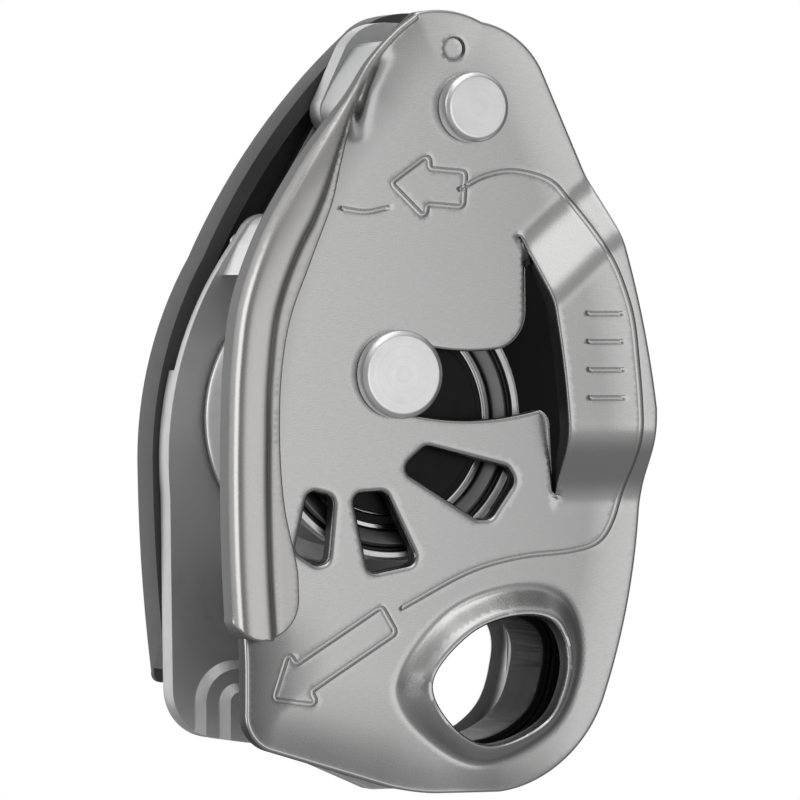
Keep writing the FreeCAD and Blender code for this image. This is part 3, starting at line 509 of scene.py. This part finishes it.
def arc(first, middle, last):
    """Points from first to last on the circle through all three."""
    (ax, ay), (bx, by), (cx, cy) = first, middle, last
    d = 2 * (ax * (by - cy) + bx * (cy - ay) + cx * (ay - by))
    a, b, c = ax * ax + ay * ay, bx * bx + by * by, cx * cx + cy * cy
    centre = np.array(((a * (by - cy) + b * (cy - ay) + c * (ay - by)) / d,
                       (a * (cx - bx) + b * (ax - cx) + c * (bx - ax)) / d))
    angles = [math.atan2(p[1] - centre[1], p[0] - centre[0]) for p in (first, middle, last)]
    turn = (angles[2] - angles[0]) % (2 * math.pi)
    if (angles[1] - angles[0]) % (2 * math.pi) > turn:
        turn -= 2 * math.pi
    radius = math.dist(first, centre)
    count = max(3, round(abs(turn) * radius / STEP))
    along = angles[0] + turn * np.linspace(0, 1, count + 1)
    return centre + radius * np.column_stack((np.cos(along), np.sin(along)))


def traced(start, *steps):
    """A closed outline: each step is an end point for a line, or a middle and an end point for an arc."""
    runs = []
    here = start
    for step in (*steps, start):
        if isinstance(step[0], tuple):
            run = arc(here, *step)
            here = step[1]
        else:
            count = max(1, round(math.dist(here, step) / STEP))
            run = np.linspace(here, step, count + 1)
            here = step
        runs.append(run[:-1])
    loop = np.concatenate(runs)
    return loop[np.hypot(*(np.roll(loop, -1, 0) - loop).T) > 1e-6]


def rounded(points, radius):
    """A closed polygon with every corner rounded."""
    runs = []
    count = len(points)
    for i, corner in enumerate(points):
        corner = np.array(corner)
        back = np.array(points[i - 1]) - corner
        ahead = np.array(points[(i + 1) % count]) - corner
        back, ahead = back / np.hypot(*back), ahead / np.hypot(*ahead)
        half = math.acos(float(back @ ahead)) / 2
        bisector = (back + ahead) / np.hypot(*(back + ahead))
        middle = corner + bisector * (radius / math.sin(half) - radius)
        runs.append(arc(corner + back * radius / math.tan(half), middle,
                        corner + ahead * radius / math.tan(half)))
    ends = []
    for i, run in enumerate(runs):
        following = runs[(i + 1) % count][0]
        steps = max(1, round(math.dist(run[-1], following) / STEP))
        between = np.linspace(run[-1], following, steps + 1)
        ends += [run[:-1], between[:-1]]
    return np.concatenate(ends)


def flowing(points, closed):
    """A smooth line through the points."""
    p = np.array(points, float)
    before = np.roll(p, 1, 0) if closed else np.vstack((2 * p[:1] - p[1:2], p[:-1]))
    after = np.roll(p, -1, 0) if closed else np.vstack((p[1:], 2 * p[-1:] - p[-2:-1]))
    slope = (after - before) / 2
    runs = []
    t = np.linspace(0, 1, CURVE_POINTS, endpoint=False)[:, None]
    for i in range(len(p) if closed else len(p) - 1):
        j = (i + 1) % len(p)
        runs.append(p[i] * (2 * t**3 - 3 * t**2 + 1) + slope[i] * (t**3 - 2 * t**2 + t)
                    + p[j] * (3 * t**2 - 2 * t**3) + slope[j] * (t**3 - t**2))
    return np.concatenate(runs if closed else [*runs, p[-1:]])


def evenly(line, closed, step):
    """The same line with points a step apart."""
    whole = np.vstack((line, line[:1])) if closed else line
    lengths = np.concatenate(([0], np.cumsum(np.hypot(*np.diff(whole, axis=0).T))))
    count = max(3, round(lengths[-1] / step))
    places = np.linspace(0, lengths[-1], count + 1)
    even = np.column_stack([np.interp(places, lengths, whole[:, k]) for k in (0, 1)])
    return even[:-1] if closed else even


def lengthened(line, more=0.5):
    """An open line run on a little at both ends; one that returns to its start is left alone."""
    if math.dist(line[0], line[-1]) < more:
        return line
    first, last = line[0] - line[1], line[-1] - line[-2]
    return np.vstack((line[0] + first / np.hypot(*first) * more, line,
                      line[-1] + last / np.hypot(*last) * more))


def side_steps(line, closed):
    """Unit vectors to the left of the line's run at each point."""
    if closed:
        run = np.roll(line, -1, 0) - np.roll(line, 1, 0)
    else:
        run = np.gradient(line, axis=0)
    run /= np.hypot(*run.T)[:, None]
    return np.column_stack((-run[:, 1], run[:, 0]))


def arc_ring(centre, radius):
    """A circle as a line that returns to its start."""
    turn = np.linspace(0, 2 * math.pi, 65)
    return np.asarray(centre) + radius * np.column_stack((np.cos(turn), np.sin(turn)))


def anticlockwise(loop):
    """The same closed line, run so that its inside is on the left."""
    x, z = loop.T
    return loop if (x * np.roll(z, -1) - z * np.roll(x, -1)).sum() > 0 else loop[::-1]


def gap_to(points, line, closed):
    """Distance of each point to the line."""
    start = line if closed else line[:-1]
    run = (np.roll(line, -1, 0) if closed else line[1:]) - start
    square = (run**2).sum(1)
    found = np.empty(len(points))
    for first in range(0, len(points), 2000):
        p = points[first:first + 2000, None, :] - start[None]
        t = np.clip((p * run[None]).sum(2) / square, 0, 1)
        found[first:first + 2000] = np.sqrt(((p - t[..., None] * run[None])**2).sum(2).min(1))
    return found


def nearest_on(points, line):
    """Distance of each point to the open line, and how far along the line's points that is."""
    start, run = line[:-1], np.diff(line, axis=0)
    square = (run**2).sum(1)
    away, along = np.empty(len(points)), np.empty(len(points))
    for i, point in enumerate(points):
        t = np.clip(((point - start) * run).sum(1) / square, 0, 1)
        gaps = ((point - start - t[:, None] * run)**2).sum(1)
        best = gaps.argmin()
        away[i], along[i] = math.sqrt(gaps[best]), best + t[best]
    return away, along


def within(points, loop):
    """Whether each point lies inside the closed line."""
    inside = np.zeros(len(points), bool)
    x, z = points.T
    for (ax, az), (bx, bz) in zip(loop, np.roll(loop, -1, 0)):
        if az != bz:
            inside ^= ((az > z) != (bz > z)) & (x < (bx - ax) * (z - az) / (bz - az) + ax)
    return inside


def smooth(value, low, high):
    """0 up to low, 1 from high, with a soft change between."""
    t = np.clip((value - low) / (high - low), 0, 1)
    return t * t * (3 - 2 * t)


def soft_ramp(t, soft):
    """0 below 0, 1 above 1, straight between, with both corners rounded over a width of soft each side."""
    def sum_to(u):
        return np.where(u < 0, 0, np.where(u < 1, u * u / 2, u - 0.5))
    return (sum_to(t + soft) - sum_to(t - soft)) / (2 * soft)


def edge_rows(loops, rounds):
    """Rows of points over the round of every edge."""
    rows = []
    for loop, radius in zip(loops, rounds):
        inward = side_steps(loop, True)
        rows += [loop + inward * radius * share for share in ROUND_SHARES]
    rows = np.concatenate(rows)
    for loop, radius in zip(loops, rounds):
        rows = rows[gap_to(rows, loop, True) > radius * ROUND_SHARES[0] - 0.01]
    return rows


def groove_rows(lines, loops):
    """Rows of points beside each line, at the side distances it comes with."""
    rows = []
    for line, distances in lines:
        even = evenly(lengthened(line), False, LINE_STEP)
        aside = side_steps(even, False)
        rows += [even + aside * distance for distance in distances]
    rows = np.concatenate(rows)
    for loop in loops:
        rows = rows[gap_to(rows, loop, True) > BORDER_CLEAR]
    return rows


def open_points(rim, loops, rounds, lines):
    """Staggered rows of points over all that lies clear of edges and grooves."""
    across, up = np.meshgrid(np.arange(rim[:, 0].min(), rim[:, 0].max(), PITCH),
                             np.arange(rim[:, 1].min(), rim[:, 1].max(), PITCH * ROW_PITCH))
    across = across + (np.arange(len(across)) % 2)[:, None] * PITCH / 2
    grid = np.column_stack((across.ravel(), up.ravel()))
    for loop, radius in zip(loops, rounds):
        grid = grid[gap_to(grid, loop, True) > radius + PITCH * GRID_CLEAR]
    for line, distances in lines:
        reach = max(abs(distance) for distance in distances)
        grid = grid[gap_to(grid, line, False) > reach + PITCH * GROOVE_CLEAR]
    return grid


def triangulated(loops, rounds, lines):
    """Points and triangles of a sheet's plan; the first loop is its border and the others are holes."""
    rim = np.concatenate(loops)
    edges = []
    for loop in loops:
        first = len(edges)
        edges += [(first + i, first + (i + 1) % len(loop)) for i in range(len(loop))]
    plan = np.concatenate((rim, edge_rows(loops, rounds), groove_rows(lines, loops),
                           open_points(rim, loops, rounds, lines)))
    made = delaunay_2d_cdt([Vector(p) for p in plan], edges, [], WHOLE_HULL, SAME_POINT, False)
    verts, faces = made[0], np.array(made[2])
    centres = np.array([v[:] for v in verts])[faces].mean(1)
    kept = within(centres, loops[0])
    for hole in loops[1:]:
        kept &= ~within(centres, hole)
    faces = faces[kept].tolist()
    used = sorted({i for shaded_face in faces for i in shaded_face})
    where = {old: new for new, old in enumerate(used)}
    return np.array([verts[i][:] for i in used]), [tuple(where[i] for i in shaded_face) for shaded_face in faces]


def closed_shell(plan, y_front, y_back, faces):
    """Corners and faces of the solid between a front and a back over one plan."""
    count = len(plan)
    x, z = plan.T
    corners = np.concatenate((np.column_stack((x, y_front, z)), np.column_stack((x, y_back, z))))
    sides = {(shaded_face[i], shaded_face[(i + 1) % len(shaded_face)]) for shaded_face in faces for i in range(len(shaded_face))}
    walls = [(b, a, a + count, b + count) for a, b in sides if (b, a) not in sides]
    return corners, faces + [tuple(i + count for i in reversed(shaded_face)) for shaded_face in faces] + walls


def sheet(name, border, holes, lines, front, back, rounds, body, node):
    """Builds one pressed sheet from its plan: border and holes, and the depths of its two faces.

    lines are grooves, each a centreline with the side distances at which it needs points.
    rounds holds the edge radius of the border and of each hole.
    """
    loops = [anticlockwise(border)] + [anticlockwise(hole)[::-1] for hole in holes]
    plan, faces = triangulated(loops, rounds, lines)
    y_front = front(plan)
    for loop, radius in zip(loops, rounds):
        gap = np.minimum(gap_to(plan, loop, True), radius)
        y_front = y_front + radius - np.sqrt(radius**2 - (radius - gap)**2)
    corners, every = closed_shell(plan, y_front, back(plan), faces)
    mesh = bpy.data.meshes.new(name)
    mesh.from_pydata((corners * MM).tolist(), [], every)
    mesh.validate()
    mesh.shade_smooth()
    mesh.set_sharp_from_angle(angle=math.radians(SHARP_ANGLE))
    thing = bpy.data.objects.new(name, mesh)
    bpy.context.scene.collection.objects.link(thing)
    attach(thing, body)
    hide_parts(node)
    thing.data.materials.append(frame["nodes"][node].data.materials[0])


# ---- moving side plate ---------------------------------------------------------------------------
BORDER_RISE = 0.5               # the plate's border is pressed forward a little, like a tray's
BORDER_WIDTH = 8.0
LIP_RISE = 1.4                  # what is added along the lower left
LIP_WIDTH = 14.0
LIP_TOP = (2.0, 14.0)           # heights between which it ends
LIP_RIGHT = (-6.0, 14.0)
RIM_RISE = 4.1                  # the cone round the attachment hole
CONE_START = 0.08               # on the way from its foot (0) to the hole (1)
CONE_SPAN = 0.78
CONE_SOFT = 0.22
HOLE = [(10.6, 1.6), (8.6, 7.8), (2.8, 9.0), (-4.5, 6.6), (-10.3, 0.0), (-7.0, -6.4), (-1.0, -9.0),
        (7.4, -5.6)]
RIM_FOOT = [(14.5, 3.0), (12.0, 11.4), (3.5, 13.3), (-7.6, 9.2), (-14.9, -1.0), (-9.0, -9.0), (-0.5, -12.1),
            (10.5, -6.8)]
BRIDGE_RISE = 5.5
UPPER_FOOT = np.array((5.1, 62.2))
UPPER_TOP = np.array((7.7, 53.8))
LOWER_TOP = np.array((10.2, 34.4))
LOWER_FOOT = np.array((10.4, 26.3))
SLANT = np.array((0.65, -0.76))         # down the upper slope of the bridge
UPPER_SOFT = 0.20               # roundness of the two slopes' corners
LOWER_SOFT = 0.34
BRIDGE_LEFT = ((26.0, 36.5, 53.0, 62.6), (10.25, 9.85, 6.6, 5.1))   # heights, and its left edge there
BACK_SHARE = 0.16               # what the back of a pressing lacks of the rise of its front
VENTS = (
    [(-27.9, 27.2), (-23.9, 26.2), (-24.8, 17.0), (-26.8, 16.6), (-30.0, 18.6)],
    [(-21.2, 26.6), (-16.0, 26.9), (-10.8, 16.7), (-18.6, 15.3)],
    [(-13.7, 30.0), (-9.8, 33.3), (2.9, 30.2), (4.3, 28.3), (0.4, 22.9), (-1.9, 22.9)])
ROPE_LINE = [(-4.5, 69.7), (-0.5, 71.6), (4.0, 72.3), (9.2, 71.1), (12.0, 68.6), (14.1, 64.9),
             (15.8, 61.1), (17.8, 57.2), (19.7, 51.6), (20.6, 45.0), (21.2, 38.0), (21.2, 31.7),
             (20.6, 27.0), (19.5, 22.7), (17.3, 19.5), (13.0, 18.2), (4.8, 17.4), (-3.2, 15.4),
             (-13.5, 10.5)]
ROPE_TAIL = [(-22.7, 66.7), (-19.2, 66.3), (-15.9, 66.9)]
# Plain arrows at the ends of the rope's path: centre, length, width, width of the shaft, direction.
ARROWS = (((-9.6, 70.0), 11.5, 9.4, 5.0, 176.0), ((-24.6, 3.4), 21.0, 9.0, 4.4, 211.0))
ARROW_HEAD = 0.62               # length of an arrow's head as a share of its width
ARROW_ROUND = 0.55
BAR = np.array(((13.4, 40.0), (18.4, 40.0)))        # lowest of the bars on the bridge
NEXT_BAR = np.array(((-0.11, 4.0), (-0.16, 4.0)))
BARS = 4
GROOVE_DEPTH = 0.36
GROOVE_WALL = (0.27, 0.42)      # distances from the middle between which its wall rises
GROOVE_RIDGE = 0.12             # its floor is raised a little along the middle
RIDGE_HALF = 0.3
GROOVE_SIDES = (-0.50, -0.40, -0.29, -0.1, 0.1, 0.29, 0.40, 0.50)
SPOT = np.array((-5.5, 89.5))   # blind dimple above the pivot
SPOT_R = 1.6
SPOT_DEPTH = 0.85
SPOT_WALL = 0.12
SPOT_SIDES = (-0.18, -0.09, 0.0, 0.09, 0.18)
# Crease where the rim grows out of the plate.
PINCH = [(-17.2, 88.8), (-18.6, 86.7), (-20.0, 84.0), (-20.8, 80.5), (-21.0, 77.0)]
PINCH_DEPTH = 2.1
PINCH_WIDTH = 1.15
PINCH_FOOT = 76.0               # it fades out towards this height and PINCH_LENGTH above it
PINCH_LENGTH = 14.0
PINCH_FADE = 1.2
SLOT_R = math.dist(PIVOT, AXLE)
SLOT_HALF = 4.9
PIVOT_HOLE_R = 4.4
VENT_ROUND = 1.3                # of a vent's corners in plan
# Radii over the front edges.
BORDER_EDGE = 0.5
SLOT_EDGE = 0.5
HOLE_EDGE = 1.1
PIVOT_EDGE = 0.2
VENT_EDGE = 0.8


def polar(centre, radius, degrees):
    """A point round a centre; 0 points down and a positive angle turns it towards -X, like the joints."""
    a = math.radians(degrees)
    return centre[0] - radius * math.sin(a), centre[1] - radius * math.cos(a)


def front_outline():
    """The front plate's border."""
    return traced(
        (-11.5, 94.5),
        ((-6.6, 94.9), (-1.3, 93.4)),
        ((4.6, 90.9), (8.1, 86.8)),
        (15.9, 70.1),
        ((20.5, 55.5), (23.8, 38.5)),
        (23.8, 26.6),
        ((22.4, 13.4), (17.9, -3.4)),
        ((12.0, -11.5), (1.0, -15.9)),
        (-9.0, -15.8),
        ((-13.6, -15.3), (-18.0, -14.2)),
        (-34.6, -9.2),
        ((-37.3, -7.2), (-38.3, -3.5)),
        (-38.3, 10.0),
        ((-38.6, 41.0), (-33.6, 62.5)),
        ((-28.0, 73.6), (-20.0, 84.0)),
        ((-16.4, 89.5), (-11.5, 94.5)))


def slot_and_window():
    """The slot for the axle, opening into the gap between the plate and the bridge's left edge."""
    start = math.degrees(math.atan2(PIVOT[0] - AXLE[0], PIVOT[1] - AXLE[1]))
    near, far = SLOT_R - SLOT_HALF, SLOT_R + SLOT_HALF
    return traced(
        polar(PIVOT, near, start),
        (polar(PIVOT, near, 4.0), polar(PIVOT, near, -8.0)),
        ((4.7, 49.0), (5.8, 52.6)),
        (5.7, 60.4),
        (5.0, 62.9),
        (5.3, 62.0),
        (7.7, 53.8),
        ((9.3, 43.5), (10.2, 34.0)),
        (10.4, 26.2),
        (10.1, 26.8),
        (9.6, 36.2),
        ((9.0, 37.6), polar(PIVOT, far, -14.6)),
        (polar(PIVOT, far, 0.0), polar(PIVOT, far, start)),
        (polar(AXLE, SLOT_HALF, 90 + start), polar(PIVOT, near, start)))


def turned_arrow(centre, length, width, shaft, angle):
    """Outline of a plain block arrow that points along the angle."""
    half, head = length / 2, width * ARROW_HEAD
    points = [(-half, shaft / 2), (half - head, shaft / 2), (half - head, width / 2), (half, 0.0),
              (half - head, -width / 2), (half - head, -shaft / 2), (-half, -shaft / 2)]
    c, s = math.cos(math.radians(angle)), math.sin(math.radians(angle))
    placed = [(centre[0] + x * c - z * s, centre[1] + x * s + z * c) for x, z in points]
    closed = rounded(placed, ARROW_ROUND)
    return np.vstack((closed, closed[:1]))


def marks():
    """Engraved lines: the rope's path, a plain arrow at each of its ends, and bars on the bridge."""
    lines = [evenly(flowing(path, False), False, LINE_STEP) for path in (ROPE_LINE, ROPE_TAIL)]
    lines += [turned_arrow(*arrow) for arrow in ARROWS]
    lines += [evenly(BAR + i * NEXT_BAR, False, LINE_STEP) for i in range(BARS)]
    return lines


def ring_share(p, inner, outer):
    """0 on the outer closed line and 1 on the inner, along rays from the origin."""
    angle = np.arctan2(p[:, 1], p[:, 0])
    reach = []
    for line in (inner, outer):
        turn = np.arctan2(line[:, 1], line[:, 0])
        order = np.argsort(turn)
        reach.append(np.interp(angle, turn[order], np.hypot(*line[order].T), period=2 * math.pi))
    return (reach[1] - np.hypot(*p.T)) / (reach[1] - reach[0])


def plate_shape(p, outline):
    """How far the pressed plate stands forward of its flat face, without its engraving."""
    gap = gap_to(p, outline, True)
    border = BORDER_RISE * np.clip(1 - gap / BORDER_WIDTH, 0, 1)**2
    low_left = (1 - smooth(p[:, 1], *LIP_TOP)) * (1 - smooth(p[:, 0], *LIP_RIGHT))
    border = border + LIP_RISE * low_left * np.clip(1 - gap / LIP_WIDTH, 0, 1)**2
    upper = ((p - UPPER_FOOT) @ SLANT) / ((UPPER_TOP - UPPER_FOOT) @ SLANT)
    lower = (p[:, 1] - LOWER_FOOT[1]) / (LOWER_TOP[1] - LOWER_FOOT[1])
    beside = p[:, 0] > np.interp(p[:, 1], *BRIDGE_LEFT)
    rise = BRIDGE_RISE * np.minimum(soft_ramp(upper, UPPER_SOFT), soft_ramp(lower, LOWER_SOFT))
    share = ring_share(p, flowing(HOLE, True), flowing(RIM_FOOT, True))
    cone = RIM_RISE * soft_ramp((share - CONE_START) / CONE_SPAN, CONE_SOFT)
    return border + np.where(beside, rise, 0) + cone


def make_plate():
    """The front side plate, with its bridge, cone, vents, slot and engraving."""
    outline = front_outline()
    engraved = marks()
    pinch = evenly(flowing(PINCH, False), False, LINE_STEP)
    holes = [slot_and_window(), evenly(flowing(HOLE, True), True, STEP),
             evenly(arc_ring(PIVOT, PIVOT_HOLE_R), True, STEP), *[rounded(v, VENT_ROUND) for v in VENTS]]
    rounds = [BORDER_EDGE, SLOT_EDGE, HOLE_EDGE, PIVOT_EDGE, *[VENT_EDGE for v in VENTS]]

    def front(p):
        cut = np.zeros(len(p))
        for line in engraved:
            away = gap_to(p, line, False)
            groove = GROOVE_DEPTH * (1 - smooth(away, *GROOVE_WALL))
            cut = np.maximum(cut, groove - GROOVE_RIDGE * (1 - smooth(away, 0.0, RIDGE_HALF)))
        away = np.hypot(*(p - SPOT).T)
        spot = SPOT_DEPTH * (1 - smooth(away, SPOT_R - SPOT_WALL, SPOT_R + SPOT_WALL))
        share = np.clip((p[:, 1] - PINCH_FOOT) / PINCH_LENGTH, 0, 1)
        leaf = PINCH_DEPTH * np.exp(-(gap_to(p, pinch, False) / PINCH_WIDTH)**2)
        leaf = leaf * np.sin(math.pi * share)**PINCH_FADE
        return FRONT - plate_shape(p, outline) + np.maximum(cut, np.maximum(spot, leaf))

    def back(p):
        shape = plate_shape(p, outline)
        return FRONT_IN - shape + BACK_SHARE * np.clip(shape - BORDER_RISE, 0, None)

    lines = [(line, GROOVE_SIDES) for line in engraved]
    lines.append((arc_ring(SPOT, SPOT_R), SPOT_SIDES))
    sheet("pressed_side_plate", outline, holes, lines, front, back, rounds,
          "side_plate", "moving_side_plate")



# ---- wear rim ------------------------------------------------------------------------------------
# Each station: a point on the rim's outer edge, the rim's width there, and the height of its rolled bead.
RIM_STATIONS = (
    (-40.1, 5.5, 10.4, 4.2), (-40.7, 15.0, 10.5, 4.2), (-41.0, 25.0, 8.7, 4.2), (-41.0, 35.0, 8.0, 4.2),
    (-40.6, 45.0, 8.0, 4.2), (-39.3, 54.0, 8.4, 4.2), (-35.9, 63.0, 8.5, 4.1), (-31.1, 71.2, 7.2, 3.8),
    (-27.0, 77.0, 4.6, 3.0), (-22.5, 82.6, 1.7, 1.6), (-19.3, 87.4, 1.1, 0.9), (-15.4, 91.5, 0.9, 0.6),
    (-11.8, 94.2, 0.8, 0.5))
RIM_SHEET = 1.1                 # thickness of its sheet
# Section of the bead: distance in from the outer edge, and share of its height there.
RIM_SHAPE = [(0.0, 0.10), (0.35, 0.52), (0.9, 0.78), (2.2, 0.93), (3.8, 1.0), (4.8, 0.93), (5.4, 0.62),
             (6.0, 0.12), (6.5, 0.0), (7.6, 0.0)]
RIM_ROWS = (0.12, 0.26, 0.45, 0.7, 1.0, 1.3, 1.6, 1.9, 2.2, 2.5, 2.8, 3.1, 3.4, 3.7, 4.0, 4.3, 4.6, 4.9,
            5.2, 5.5, 5.8, 6.1, 6.4, 6.8)       # distances in from the outer edge of its rows of points
RIM_HOOK = 1.2                  # how far the rim reaches back round the plate's edge
RIM_FOLD = 3.4                  # width of the part that does
RIM_FULL = 8.0                  # the width at which the bead has its full section
RIM_HOOKED = 4                  # the bead height from which it reaches back in full
RIM_LOW = 9.4                   # where its outer edge begins, above the rounded foot
RIM_INNER = 15.0                # where its inner edge begins
RIM_STEP = 0.6                  # of the points that its rows are set out from
RIM_EDGE = 0.3                  # radius over its border


def make_rim():
    """The folded steel rim on the front plate's left edge, with its rolled bead."""
    stations = np.array(RIM_STATIONS)
    track = flowing(stations[:, :2], False)
    width = flowing(stations[:, [2, 3]], False)
    inward = -side_steps(track, False)
    free = track + inward * width[:, :1]
    free = free[free[:, 1] > RIM_INNER]
    tip = track[-1:] + (0.4, -0.4)
    foot = traced((-40.4, 9.0), ((-39.4, 7.3), (-36.4, 6.4)), ((-31.9, 7.8), (-30.1, 12.0)), tuple(free[0]))
    foot = foot[:np.argmin(np.hypot(*(foot - free[0]).T)) + 1]
    side = track[track[:, 1] > RIM_LOW]
    border = evenly(np.vstack((foot, free[1:], tip, side[::-1])), True, STEP)
    squeeze = np.minimum(1.0, width[:, 0] / RIM_FULL)
    shape = flowing(RIM_SHAPE, False)
    order = np.arange(len(track))

    def place(p):
        """Distance in from the outer edge, with the rim's squeeze and bead height there."""
        across, along = nearest_on(p, track)
        return across, np.interp(along, order, squeeze), np.interp(along, order, width[:, 1])

    def front(p):
        across, tight, bead = place(p)
        low = np.minimum(RIM_SHEET, bead)
        return FRONT - low - (bead - low) * np.interp(across / tight, *shape.T) - BORDER_RISE

    def back(p):
        across, tight, bead = place(p)
        hooked = FRONT + RIM_HOOK * np.minimum(1, bead / RIM_HOOKED)
        return np.where(across < RIM_FOLD * tight, hooked, FRONT - BORDER_RISE)

    lines = [(evenly(track, False, RIM_STEP), [-row for row in RIM_ROWS])]
    sheet("folded_wear_rim", border, [], lines, front, back, [RIM_EDGE],
          "side_plate", "wear_rim")


def make_floor():
    """A plain pale round floor below the object."""
    mesh = bpy.data.meshes.new("floor")
    shape = bmesh.new()
    bmesh.ops.create_circle(shape, cap_ends=True, segments=96, radius=FLOOR_RADIUS)
    shape.to_mesh(mesh)
    shape.free()
    floor = bpy.data.objects.new("floor", mesh)
    bpy.context.scene.collection.objects.link(floor)
    floor.location = (0, 0, cad_box[0].z - FLOOR_DROP)
    n = Nodes("floor_paper")
    paper = n.noise(0.6 * MM, 2.0)
    tones = n.mixed(n.spread(paper, 0.0, 1.0), grey(0.90), grey(0.93))
    floor.data.materials.append(n.finish(tones, n.spread(paper, 0.8, 0.9), Specular_IOR_Level=0.1))
    floor.visible_glossy = False


bpy.context.scene.view_settings.view_transform = "Standard"
make_camera()
make_lights()
make_world()
make_floor()
dress_nodes()
soften_edges()
make_plate()
make_rim()
